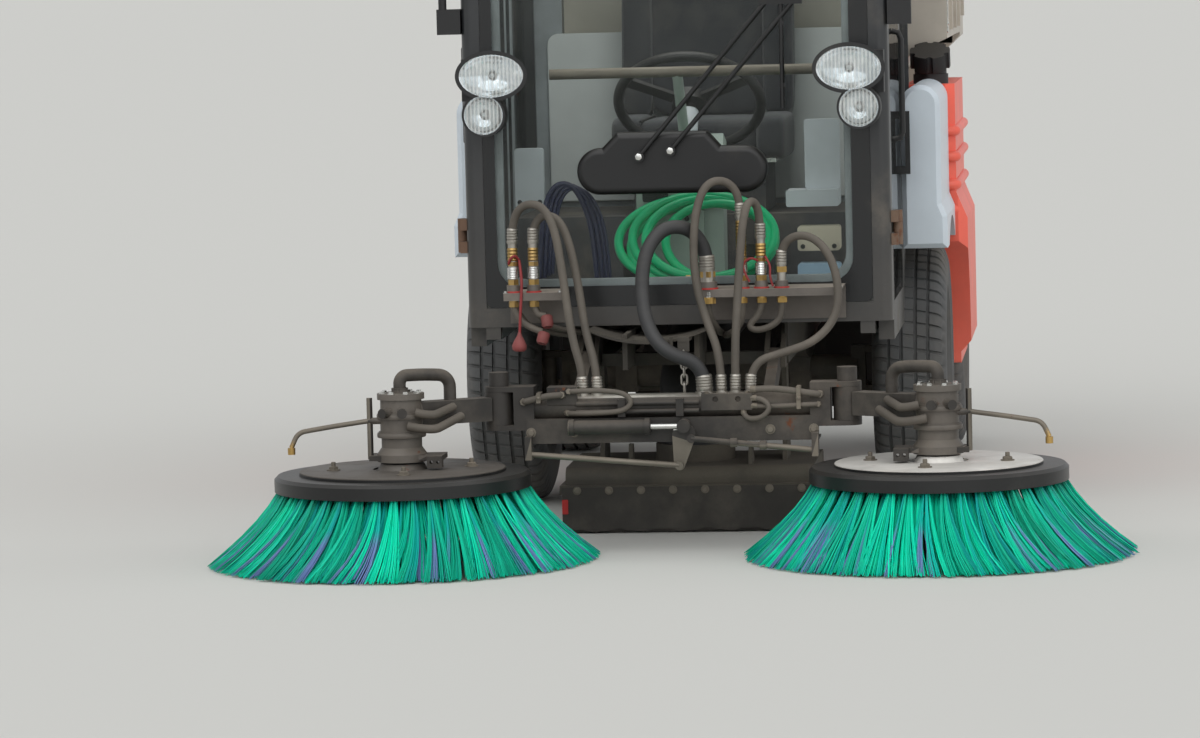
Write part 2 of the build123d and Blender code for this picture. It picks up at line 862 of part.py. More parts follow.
with BuildPart() as door:
    block((door_in_x, cab_half_w), (door_front_y, door_rear_y), (door_bottom_z, door_top_z))
    block(
        (door_in_x - 1, cab_half_w + 1),
        (door_front_y + door_stile, door_rear_y - door_stile),
        (door_glass_bottom, door_top_z - door_stile),
        mode=Mode.SUBTRACT,
    )
    block(
        (cab_half_w - glass_t, cab_half_w + 1),
        (door_front_y + door_stile - glass_lap, door_rear_y - door_stile + glass_lap),
        (door_glass_bottom - glass_lap, door_top_z - door_stile + glass_lap),
        mode=Mode.SUBTRACT,
    )
    for z in door_hinge_z:
        low, high = z - knuckle_len / 2 + ear_gap, z + knuckle_len / 2 - ear_gap
        bar((hinge_x, hinge_y, low), (hinge_x, hinge_y, high), hinge_r)
        block((cab_half_w - 1, hinge_x + 2), (hinge_y + 3, hinge_y + 30), (low, high))
        bar(
            (hinge_x, hinge_y, low - 1),
            (hinge_x, hinge_y, high + 1),
            hinge_pin_r + running_gap,
            mode=Mode.SUBTRACT,
        )
    # Handle near the rear edge
    block((cab_half_w - 1, cab_half_w + 24), (door_rear_y - 26, door_rear_y - 8), (860, 880))
    block((cab_half_w - 1, cab_half_w + 24), (door_rear_y - 26, door_rear_y - 8), (1000, 1020))
    block((cab_half_w + 12, cab_half_w + 24), (door_rear_y - 26, door_rear_y - 8), (860, 1020))
both(door.part, "door_left", "door_right")

with BuildPart() as door_glass:
    block(
        (cab_half_w - glass_t, cab_half_w),
        (door_front_y + door_stile - glass_lap, door_rear_y - door_stile + glass_lap),
        (door_glass_bottom - glass_lap, door_top_z - door_stile + glass_lap),
    )
both(door_glass.part, "door_glass_left", "door_glass_right")

# Headlamps on the front posts: a hooded oval lamp above a small round one

lamp_x = cab_half_w - 89
lamp_z = 1150.0
lamp_w = 158.0
lamp_h = 105.0
small_x = cab_half_w - 67
small_z = 1055.0
small_r = 48.0
bezel = 9.0
lamp_back_y = lamp_y + 96
with BuildPart() as headlamps:
    with BuildSketch(Plane.XZ.offset(-lamp_y)):
        with Locations((lamp_x, lamp_z)):
            Ellipse(lamp_w / 2 + bezel, lamp_h / 2 + bezel)
    with BuildSketch(Plane.XZ.offset(-lamp_back_y)):
        with Locations((lamp_x, lamp_z)):
            Ellipse(lamp_w / 2 - 18, lamp_h / 2 - 12)
    loft()
    bar((small_x, lamp_y + 8, small_z), (small_x, lamp_y + 70, small_z), small_r + 5)
    block((small_x - 12, small_x + 12), (lamp_y + 20, lamp_y + 60), (small_z, lamp_z))
    # Arm to the post
    block(
        (cab_half_w - post_w + 4, cab_half_w - 8),
        (lamp_back_y - 30, cab_front_y),
        (lamp_z - 62, lamp_z + 40),
    )
    with BuildSketch(Plane.XZ.offset(-lamp_y)):
        with Locations((lamp_x, lamp_z)):
            Ellipse(lamp_w / 2, lamp_h / 2)
    extrude(amount=-40, mode=Mode.SUBTRACT)
    bar((small_x, lamp_y, small_z), (small_x, lamp_y + 40, small_z), small_r, mode=Mode.SUBTRACT)
    mirror(about=Plane.YZ)
finish(headlamps.part, "headlamps")

with BuildPart() as lamp_lenses:
    with BuildSketch(Plane.XZ.offset(-lamp_y - 2)):
        with Locations((lamp_x, lamp_z)):
            Ellipse(lamp_w / 2 - rest_gap, lamp_h / 2 - rest_gap)
    extrude(amount=-38)
    bar((small_x, lamp_y + 6, small_z), (small_x, lamp_y + 40, small_z), small_r - rest_gap)
    mirror(about=Plane.YZ)
finish(lamp_lenses.part, "lamp_lenses")

# Wiper: motor cover on the lower windscreen, two parallel rods and the blade

cover_z = (852.0, 966.0)
cover_top_z = 1003.0
cover_depth = 42.0
cover_x = -7.0
cover_w = 466.0
hump_foot_x = (-185.0, 120.0)
hump_top_x = (-140.0, 80.0)
wiper_y = cab_front_y - cover_depth - 14
rod_r = 6.0
# Rods: foot x and z, head x and z
wiper_rods = ((-85.0, 944.0, 235.0, 1316.0), (-8.0, 957.0, 300.0, 1314.0))
blade_x = sum(rod[2] for rod in wiper_rods) / 2
blade_z = (1055.0, 1645.0)
blade_r = 5.0
rubber_t = 6.0
with BuildPart() as wiper:
    with BuildSketch(Plane.XZ.offset(-cab_front_y)):
        with Locations((cover_x, (cover_z[0] + cover_z[1]) / 2)):
            SlotOverall(cover_w, cover_z[1] - cover_z[0])
        with BuildLine():
            Polyline(
                (hump_foot_x[0], cover_z[1] - 8),
                (hump_top_x[0], cover_top_z),
                (hump_top_x[1], cover_top_z),
                (hump_foot_x[1], cover_z[1] - 8),
                close=True,
            )
        make_face()
    extrude(amount=cover_depth)
    fillet(wiper.faces().sort_by(Axis.Y)[0].edges(), 16)
    for x0, z0, x1, z1 in wiper_rods:
        bar((x0, cab_front_y - cover_depth + 4, z0), (x0, wiper_y - 8, z0), 2 * rod_r + 1)
        bar((x0, wiper_y, z0), (x1, wiper_y, z1), rod_r)
    block(
        (wiper_rods[0][2] - 20, wiper_rods[1][2] + 20),
        (wiper_y - rod_r, wiper_y + rod_r),
        (wiper_rods[0][3] - 10, wiper_rods[0][3] + 10),
    )
    bar((blade_x, wiper_y, blade_z[0]), (blade_x, wiper_y, blade_z[1]), blade_r)
    block((blade_x - rubber_t / 2, blade_x + rubber_t / 2), (wiper_y + 1, cab_front_y), blade_z)
finish(wiper.part, "wiper")

# Mirrors on arms from the front posts, and the roof beacon

mirror_x = cab_half_w + 168
mirror_y = cab_front_y - 60
mirror_z = 1580.0
mirror_w = 190.0
mirror_d = 44.0
mirror_h = 300.0
mirror_foot = (1250.0, 1312.0)
mirror_elbow_z = 1415.0
mirror_arm_x = cab_half_w + 44
mirror_arm_y = cab_front_y + 16
mirror_arm_r = 10.0
with BuildPart() as mirrors:
    block((cab_half_w, mirror_arm_x + 14), (mirror_arm_y - 11, mirror_arm_y + 18), mirror_foot)
    bar(
        (mirror_arm_x, mirror_arm_y, mirror_foot[1] - 20),
        (mirror_arm_x, mirror_arm_y, mirror_elbow_z),
        mirror_arm_r,
    )
    with Locations((mirror_arm_x, mirror_arm_y, mirror_elbow_z)):
        Sphere(mirror_arm_r + 3)
    bar(
        (mirror_arm_x, mirror_arm_y, mirror_elbow_z),
        (mirror_x, mirror_y, mirror_z - mirror_h / 8),
        mirror_arm_r,
    )
    with Locations((mirror_x, mirror_y, mirror_z)):
        Box(mirror_w, mirror_d, mirror_h)
    fillet(mirrors.faces().sort_by(Axis.Z)[-1].edges().filter_by(Axis.Y), 30)
    mirror(about=Plane.YZ)
finish(mirrors.part, "mirrors")

beacon_y = 120.0
roof_top_z = cab_top_z + roof_t
with BuildPart() as beacon:
    with BuildSketch(Plane.XZ.offset(-beacon_y)):
        with BuildLine():
            Polyline(
                (0, roof_top_z), (66, roof_top_z), (66, roof_top_z + 26), (56, roof_top_z + 30),
                (50, roof_top_z + 96), (34, roof_top_z + 112), (0, roof_top_z + 116), close=True,
            )
        make_face()
    revolve(axis=Axis((0, beacon_y, 0), (0, 0, 1)))
finish(beacon.part, "beacon")

# Coupling plates under the windscreen with upright quick couplers

plate_front_y = -1072.0
left_plate_x = (-415.0, -272.0)
right_plate_x = (60.0, 408.0)
plate_leg_t = 10.0
plate_top_z = plate_z + plate_t
# Couplers: x, top z and radius
couplers = (
    (-393.0, 742.0, 11.0),
    (-343.0, 742.0, 11.0),
    (80.0, 668.0, 19.0),
    (164.0, 793.0, 11.0),
    (211.0, 743.0, 11.0),
    (260.0, 677.0, 11.0),
)
with BuildPart() as coupling_plates:
    for x in (left_plate_x, right_plate_x):
        block(x, (plate_front_y, cab_front_y - plate_leg_t), (plate_z, plate_top_z))
        block(x, (cab_front_y - plate_leg_t, cab_front_y), (cab_bottom_z + 10, plate_top_z))
        block(x, (plate_front_y, plate_front_y + 4), (plate_z - 14, plate_z))
    for x, top, r in couplers:
        bar((x, coupler_y, plate_z - 30), (x, coupler_y, top), r)
        bar((x, coupler_y, plate_top_z), (x, coupler_y, plate_top_z + 18), r + 5)
        bar((x, coupler_y, plate_z - 12), (x, coupler_y, plate_z), r + 4)
finish(coupling_plates.part, "coupling_plates")

# Front fenders beside the cab, above the front wheels: rounded tops and a flared foot

fender_top_r = fender_w / 2
fender_edge_r = 12.0
with BuildPart() as front_fenders:
    with BuildSketch(Plane.XZ.offset(-fender_front_y)) as fender_outline:
        with BuildLine():
            side_line = Polyline(
                (cab_half_w, fender_top_z - fender_top_r),
                (cab_half_w, fender_bottom_z),
                (fender_flare_x, fender_bottom_z),
                (fender_flare_x, fender_flare_z[0]),
                (fender_out_x, fender_flare_z[1]),
                (fender_out_x, fender_top_z - fender_top_r),
            )
            ThreePointArc(
                side_line @ 1,
                (cab_half_w + fender_top_r, fender_top_z),
                side_line @ 0,
            )
        make_face()
    extrude(fender_outline.sketch, amount=fender_front_y - fender_rear_y)
    chamfer(front_fenders.faces().sort_by(Axis.Y)[0].edges(), fender_edge_r)
    bar(
        (cab_half_w - 1, front_axle_y, wheel_r),
        (fender_flare_x + 1, front_axle_y, wheel_r),
        arch_r,
        mode=Mode.SUBTRACT,
    )
    mirror(about=Plane.YZ)
finish(front_fenders.part, "front_fenders")

# Side water tanks between the wheels, with four rolled ribs and a flared lower half

tank_low_front_y = front_axle_y + arch_r + 6
tank_slope_z = 560.0
tank_edge_r = 24.0
flare_slope = 70.0
rib_end_gap = 20.0
with BuildPart() as water_tanks:
    plate_xz(
        [
            (tank_in_x, tank_top_z),
            (tank_in_x, tank_bottom_z),
            (tank_out_x, tank_bottom_z),
            (tank_out_x, tank_bottom_z + 30),
            (tank_flare_x, tank_bottom_z + 60),
            (tank_flare_x, tank_flare_z - flare_slope),
            (tank_out_x, tank_flare_z),
            (tank_out_x, tank_top_z),
        ],
        (tank_front_y, tank_rear_y),
    )
    chamfer(
        water_tanks.faces().sort_by(Axis.Y)[0].edges().filter_by(Axis.Z).sort_by(Axis.X)[1:], tank_edge_r
    )
    plate_yz(
        [
            (tank_front_y - 1, tank_slope_z),
            (tank_low_front_y, tank_bottom_z - 1),
            (tank_front_y - 1, tank_bottom_z - 1),
        ],
        (tank_in_x - 1, tank_flare_x + 1),
        mode=Mode.SUBTRACT,
    )
    bar(
        (tank_in_x - 1, front_axle_y, wheel_r),
        (tank_flare_x + 1, front_axle_y, wheel_r),
        arch_r + 4,
        mode=Mode.SUBTRACT,
    )
    for z in rib_z:
        pipe(
            [
                (tank_in_x + 10, tank_front_y, z),
                (tank_out_x, tank_front_y, z),
                (tank_out_x, tank_rear_y - rib_end_gap, z),
            ],
            rib_r,
            bend=tank_edge_r,
        )
    mirror(about=Plane.YZ)
finish(water_tanks.part, "water_tanks")

# Leaning filler caps on the tanks

cap_y = tank_front_y + cap_y_back
cap_collar_h = 26.0
cap_lean_dir = (0.0, -sin(radians(cap_lean)), cos(radians(cap_lean)))
cap_foot = Vector(cap_x, cap_y, tank_top_z + cap_collar_h)
neck_len = 24.0
with BuildPart() as filler_caps:
    bar(
        (cap_x, cap_y, tank_top_z),
        (cap_x, cap_y, tank_top_z + cap_collar_h),
        cap_neck_r + 4,
    )
    neck_top = cap_foot + Vector(*cap_lean_dir) * neck_len
    bar(tuple(cap_foot - Vector(*cap_lean_dir) * 4), tuple(neck_top), cap_neck_r)
    bar(tuple(neck_top), tuple(neck_top + Vector(*cap_lean_dir) * cap_h), cap_r)
    with Locations(Plane(origin=neck_top, z_dir=cap_lean_dir).location):
        with PolarLocations(cap_r, 6):
            with Locations((0, 0, cap_h / 2)):
                Cylinder(9, cap_h + 2, mode=Mode.SUBTRACT)
    mirror(about=Plane.YZ)
finish(filler_caps.part, "filler_caps")

# Rear mudguards over the rear wheels with rubber flaps behind the front wheels' tanks

with BuildPart() as mudguards:
    with BuildSketch(Plane.YZ.offset(wheel_x - half_tyre - 6)):
        with Locations((rear_axle_y, wheel_r)):
            Circle(rear_guard_r + guard_t)
            Circle(rear_guard_r, mode=Mode.SUBTRACT)
        with Locations((rear_axle_y, guard_low_z - 500)):
            Rectangle(1000, 1000, mode=Mode.SUBTRACT)
    extrude(amount=tyre_w + 24)
    block(
        (rail_out_x, wheel_x - half_tyre + 4),
        (rear_axle_y - 30, rear_axle_y + 30),
        (rail_top_z - 30, rail_top_z - 18),
    )
    plate_yz(
        [
            (rear_axle_y - 30, rail_top_z - 18),
            (rear_axle_y + 30, rail_top_z - 18),
            (rear_axle_y + 30, wheel_r + rear_guard_r + 1),
            (rear_axle_y - 30, wheel_r + rear_guard_r + 1),
        ],
        (wheel_x - half_tyre - 14, wheel_x - half_tyre - 6),
    )
    mirror(about=Plane.YZ)
finish(mudguards.part, "mudguards")

# Engine, as one plain block on its two cross-members

with BuildPart() as engine_block:
    block(
        (-engine_half_w, engine_half_w),
        (engine_front_y, engine_rear_y),
        (engine_bottom_z, engine_top_z),
    )
finish(engine_block.part, "engine_block")

# Hopper: a hollow body with chamfered lower corners, open at the rear

inlet_y = 530.0


def hopper_section(inset):
    """Half outline of the hopper's cross-section, moved inwards by a wall."""
    w = hopper_half_w - inset
    low = hopper_bottom_z + inset
    high = hopper_top_z - inset
    half = [
        (hopper_floor_half - inset / 2, low),
        (w - hopper_bend_w, hopper_bend_z[0] + inset / 2),
        (w, hopper_bend_z[1]),
        (w, high - hopper_round),
        (w - hopper_round, high),
    ]
    return half + [(-x, z) for x, z in reversed(half)]


rib_place_y = [hopper_front_y + (hopper_rear_y - hopper_front_y) * share for share in (0.2, 0.5, 0.8)]
rib_low_z = hopper_bend_z[1] + 20
rib_high_z = hopper_top_z - hopper_round - 20


with BuildPart() as hopper:
    plate_xz(hopper_section(0), (hopper_front_y, hopper_rear_y))
    plate_xz(
        hopper_section(hopper_wall),
        (hopper_front_y + hopper_wall, hopper_rear_y + 1),
        mode=Mode.SUBTRACT,
    )
    bar(
        (0, inlet_y, hopper_bottom_z - 1),
        (0, inlet_y, hopper_bottom_z + hopper_wall + 1),
        duct_r - duct_wall,
        mode=Mode.SUBTRACT,
    )
    # Upright ribs on the sides
    for side in (-1, 1):
        for y in rib_place_y:
            plate_yz(
                [
                    (y - hopper_rib_w / 2, rib_low_z),
                    (y + hopper_rib_w / 2, rib_low_z),
                    (y + hopper_rib_w / 2, rib_high_z),
                    (y - hopper_rib_w / 2, rib_high_z),
                ],
                sorted((side * (hopper_half_w - 1), side * (hopper_half_w + hopper_rib_t))),
            )
        # Lugs and pins of the tipping pivot
        for near in (rail_x - tip_lug_t / 2 - ear_gap - 14, rail_x + tip_lug_t / 2 + ear_gap):
            plate_yz(
                [
                    (tip_y - 150, hopper_bottom_z),
                    (tip_y - 66, hopper_bottom_z),
                    (tip_y + 24, tip_z + 22),
                    (tip_y + 24, tip_z - 24),
                    (tip_y - 24, tip_z - 24),
                ],
                sorted((side * near, side * (near + 14))),
            )
        bar(
            (side * (rail_x - tip_lug_t / 2 - 8), tip_y, tip_z),
            (side * (rail_x + tip_lug_t / 2 + 8), tip_y, tip_z),
            tip_pin_r,
        )
        # Ears beside the cylinder's rod eye
        for near in (cyl_x - cyl_ear_gap - cyl_eye_half - cyl_ear_t, cyl_x + cyl_eye_half + cyl_ear_gap):
            plate_yz(
                [
                    (cyl_eye_y - 50, hopper_bottom_z + 2),
                    (cyl_eye_y + 50, hopper_bottom_z + 2),
                    (cyl_eye_y + 20, cyl_eye_z - 20),
                    (cyl_eye_y - 20, cyl_eye_z - 20),
                ],
                sorted((side * near, side * (near + cyl_ear_t))),
            )
        # Tailgate hinge: an upright ear with the pin
        plate_yz(
            [
                (hopper_rear_y - 60, hopper_top_z - 4),
                (hopper_rear_y, hopper_top_z - 4),
                (hopper_rear_y + 16, gate_hinge_z - 6),
                (hopper_rear_y + 8, gate_hinge_z + 16),
                (hopper_rear_y - 16, gate_hinge_z + 14),
            ],
            sorted((side * gate_ear_x, side * (gate_ear_x + gate_ear_t))),
        )
        bar(
            (side * gate_ear_x, hopper_rear_y, gate_hinge_z),
            (side * (gate_ear_x + gate_pin_len), hopper_rear_y, gate_hinge_z),
            gate_pin_r,
        )
finish(hopper.part, "hopper")

# Tailgate: a bulged hollow door hung at the top of the hopper

gate_front_y = hopper_rear_y + tailgate_gap


def gate_profile(inset):
    """Side outline of the tailgate, moved inwards by a wall."""
    rear = tailgate_rear_y - inset
    low = hopper_bottom_z + 6 + inset
    high = hopper_top_z - inset
    return [
        (gate_front_y, low), (rear - 120, low), (rear, low + 190), (rear, low + 520), (rear - 90, high - 90),
        (rear - 170, high), (gate_front_y, high),
    ]


gate_eye_x = (gate_ear_x + gate_ear_t + ear_gap, gate_ear_x + gate_pin_len - 6)
gate_eye_r = 20.0
latch_t = 12.0
latch_z = (1236.0, 1290.0)
pull_half = 150.0
pull_z = 1090.0
pull_r = 8.0
pull_out = 60.0
pull_y = tailgate_rear_y - pull_r - 2
gate_cut_z = (900.0, hopper_bend_z[1] - 10)
with BuildPart() as tailgate:
    plate_yz(gate_profile(0), (-hopper_half_w, hopper_half_w))
    for side in (-1, 1):
        plate_xz(
            [
                (side * (hopper_half_w + 1), gate_cut_z[1]),
                (side * (hopper_half_w + 1), gate_cut_z[0]),
                (side * (hopper_half_w - gate_corner_w), gate_cut_z[0]),
            ],
            (gate_front_y - 1, tailgate_rear_y + 1),
            mode=Mode.SUBTRACT,
        )
    with BuildSketch(Plane.YZ.offset(-hopper_half_w + hopper_wall)):
        with BuildLine():
            inner = gate_profile(hopper_wall)
            inner[0] = (gate_front_y - 1, inner[0][1] + 130)
            inner[1] = (inner[1][0], inner[1][1] + 130)
            inner[-1] = (gate_front_y - 1, inner[-1][1])
            Polyline(*inner, close=True)
        make_face()
    extrude(amount=2 * (hopper_half_w - hopper_wall), mode=Mode.SUBTRACT)
    for side in (-1, 1):
        plate_yz(
            [
                (gate_front_y + 60, hopper_top_z - 4),
                (gate_front_y + 4, hopper_top_z - 4),
                (gate_front_y - 12, gate_hinge_z + 12),
                (gate_front_y + 12, gate_hinge_z + 12),
            ],
            sorted((side * gate_eye_x[0], side * gate_eye_x[1])),
        )
        bar(
            (side * gate_eye_x[0], hopper_rear_y, gate_hinge_z),
            (side * gate_eye_x[1], hopper_rear_y, gate_hinge_z),
            gate_eye_r,
        )
        bar(
            (side * (gate_eye_x[0] - 1), hopper_rear_y, gate_hinge_z),
            (side * (gate_eye_x[1] + 1), hopper_rear_y, gate_hinge_z),
            gate_pin_r + running_gap,
            mode=Mode.SUBTRACT,
        )
        # Side latches and a pull rail low on the rear
        block(
            sorted((side * (hopper_half_w - 1), side * (hopper_half_w + latch_t))),
            (gate_front_y + 8, gate_front_y + 62),
            latch_z,
        )
        bar((side * pull_half, pull_y - pull_out, pull_z), (side * pull_half, pull_y, pull_z), pull_r)
    bar((-pull_half - pull_r, pull_y, pull_z), (pull_half + pull_r, pull_y, pull_z), pull_r)
finish(tailgate.part, "tailgate")

# Tipping cylinders: two barrels on one foot axis, and their rods

cyl_foot = Vector(cyl_x, cyl_base_y, cyl_base_z)
cyl_head = Vector(cyl_x, cyl_eye_y, cyl_eye_z)
cyl_dir = (cyl_head - cyl_foot).normalized()
barrel_len = (cyl_head - cyl_foot).length - 58
cyl_foot_r = 24.0
with BuildPart() as tip_barrels:
    bar(
        (cyl_x - cyl_foot_half, cyl_base_y, cyl_base_z),
        (cyl_x + cyl_foot_half, cyl_base_y, cyl_base_z),
        cyl_foot_r,
    )
    bar(tuple(cyl_foot + cyl_dir * 10), tuple(cyl_foot + cyl_dir * barrel_len), barrel_r)
    bar(
        tuple(cyl_foot + cyl_dir * 44),
        tuple(cyl_foot + cyl_dir * (barrel_len + 1)),
        cyl_rod_r + running_gap,
        mode=Mode.SUBTRACT,
    )
    bar(
        (cyl_x - barrel_r - 1, cyl_base_y, cyl_base_z),
        (cyl_x + barrel_r + 1, cyl_base_y, cyl_base_z),
        cyl_pin_r + running_gap,
        mode=Mode.SUBTRACT,
    )
    mirror(about=Plane.YZ)
finish(tip_barrels.part, "tip_barrels")

with BuildPart() as tip_rods:
    bar(tuple(cyl_foot + cyl_dir * 46), tuple(cyl_head - cyl_dir * 8), cyl_rod_r)
    bar(
        (cyl_x - cyl_eye_half, cyl_eye_y, cyl_eye_z),
        (cyl_x + cyl_eye_half, cyl_eye_y, cyl_eye_z),
        cyl_eye_r,
    )
    bar(
        (cyl_x - cyl_eye_half - 1, cyl_eye_y, cyl_eye_z),
        (cyl_x + cyl_eye_half + 1, cyl_eye_y, cyl_eye_z),
        cyl_eye_hole_r,
        mode=Mode.SUBTRACT,
    )
    mirror(about=Plane.YZ)
finish(tip_rods.part, "tip_rods")

# Suction mouth with its collar and skirt, and the duct to the hopper

collar_top_z = 205.0
strut_x = rail_x
strip_z = (mouth_bottom_z + 38, mouth_bottom_z + 60)
strip_t = 14.0
lug_x = (-150.0, 150.0)
lug_hole_r = 9.0
with BuildPart() as suction_mouth:
    block(
        (-mouth_half_w, mouth_half_w), (mouth_front_y, mouth_rear_y), (mouth_bottom_z, mouth_top_z)
    )
    fillet(suction_mouth.edges().filter_by(Axis.X).sort_by(Axis.Z)[-2:], 30)
    block(
        (-mouth_half_w + mouth_wall, mouth_half_w - mouth_wall),
        (mouth_front_y + mouth_wall, mouth_rear_y - mouth_wall),
        (mouth_bottom_z - 1, mouth_top_z - mouth_wall - 24),
        mode=Mode.SUBTRACT,
    )
    bar((0, mouth_y, mouth_top_z - 2), (0, mouth_y, collar_top_z), duct_r + 10)
    bar((0, mouth_y, 100), (0, mouth_y, collar_top_z + 1), duct_r - duct_wall, mode=Mode.SUBTRACT)
    for side in (-1, 1):
        plate_yz(
            [
                (mouth_y - 70, mouth_top_z - 2),
                (mouth_y + 70, mouth_top_z - 2),
                (mouth_y + 30, rail_z),
                (mouth_y - 30, rail_z),
            ],
            sorted((side * (strut_x - 6), side * (strut_x + 6))),
        )
        # Clamp strips above the skirt on the sides
        block(
            sorted((side * (mouth_half_w - 1), side * (mouth_half_w + strip_t))),
            (mouth_front_y - strip_t, mouth_rear_y + strip_t),
            strip_z,
        )
    for y in (mouth_front_y - strip_t, mouth_rear_y - 1):
        block((-mouth_half_w - strip_t, mouth_half_w + strip_t), (y, y + strip_t + 1), strip_z)
    for x in lug_x:
        plate_yz(
            [
                (mouth_front_y + 34, mouth_top_z - 2),
                (mouth_front_y + 110, mouth_top_z - 2),
                (mouth_front_y + 86, mouth_top_z + 52),
                (mouth_front_y + 58, mouth_top_z + 52),
            ],
            (x - 5, x + 5),
        )
        bar(
            (x - 6, mouth_front_y + 72, mouth_top_z + 32),
            (x + 6, mouth_front_y + 72, mouth_top_z + 32),
            lug_hole_r,
            mode=Mode.SUBTRACT,
        )
finish(suction_mouth.part, "suction_mouth")

with BuildPart() as suction_skirt:
    block(
        (-mouth_half_w - skirt_t, mouth_half_w + skirt_t),
        (mouth_front_y - skirt_t, mouth_rear_y + skirt_t),
        (3, mouth_bottom_z + 34),
    )
    block(
        (-mouth_half_w, mouth_half_w),
        (mouth_front_y, mouth_rear_y),
        (2, mouth_bottom_z + 35),
        mode=Mode.SUBTRACT,
    )
finish(suction_skirt.part, "suction_skirt")

duct_points = [
    (0, mouth_y, collar_top_z),
    (0, mouth_y, 330),
    (0, -250, 487),
    (0, 330, 487),
    (0, inlet_y, 640),
    (0, inlet_y, hopper_bottom_z - tailgate_gap),
]

with BuildPart() as suction_duct:
    pipe(duct_points, duct_r, duct_wall)
finish(suction_duct.part, "suction_duct")

# Rear bumper with lamp clusters

bumper_y = (1722.0, 1768.0)
bumper_half_w = 560.0
hitch_w = 120.0
hitch_h = 56.0
hitch_hole_r = 8.5
bumper_z = (452.0, 548.0)
with BuildPart() as rear_bumper:
    block((-bumper_half_w, bumper_half_w), bumper_y, bumper_z)
    fillet(rear_bumper.edges().filter_by(Axis.Z), 14)
    for side in (-1, 1):
        block(
            sorted((side * (rail_x - 26), side * (rail_x + 26))),
            (rail_rear_y, bumper_y[0] + 2),
            (rail_z + 30, rail_top_z - 4),
        )
    # Bolt holes for a towing hitch
    with Locations(Plane.XZ.offset(-bumper_y[0] + 1).location * Location((0, sum(bumper_z) / 2, 0))):
        with GridLocations(hitch_w, hitch_h, 2, 2):
            Cylinder(hitch_hole_r, 200, mode=Mode.SUBTRACT)
finish(rear_bumper.part, "rear_bumper")

with BuildPart() as rear_lamps:
    for side in (-1, 1):
        block(
            sorted((side * 400, side * 540)),
            (bumper_y[1], tailgate_rear_y),
            (bumper_z[0] + 12, bumper_z[1] - 12),
        )
finish(rear_lamps.part, "rear_lamps")

# Brush carrier: lifting arms, round beam, channel, pivot forks and the linkage

fork_top_z = beam_z + pivot_hub_h / 2 + ear_gap
fork_bottom_z = beam_z - pivot_hub_h / 2 - ear_gap
hub_gap = 5.0
cap_top_z = fork_top_z + pivot_plate_t + 34
hose_port_z = 388.0
valve_x = (-300.0, -228.0)
pipe_z = (342.0, 362.0)
pipe_r = 6.0
pipe_end_x = 66.0
clamp_x = (-120.0, 20.0)
cylinder_x = (-247.0, -49.0)
cylinder_z = 308.0
link_y = channel_front_y - 24
lever_x = 30.0
lever_low_z = 214.0
rod_end_z = 246.0
box_x = (72.0, 194.0)
box_z = (343.0, 382.0)
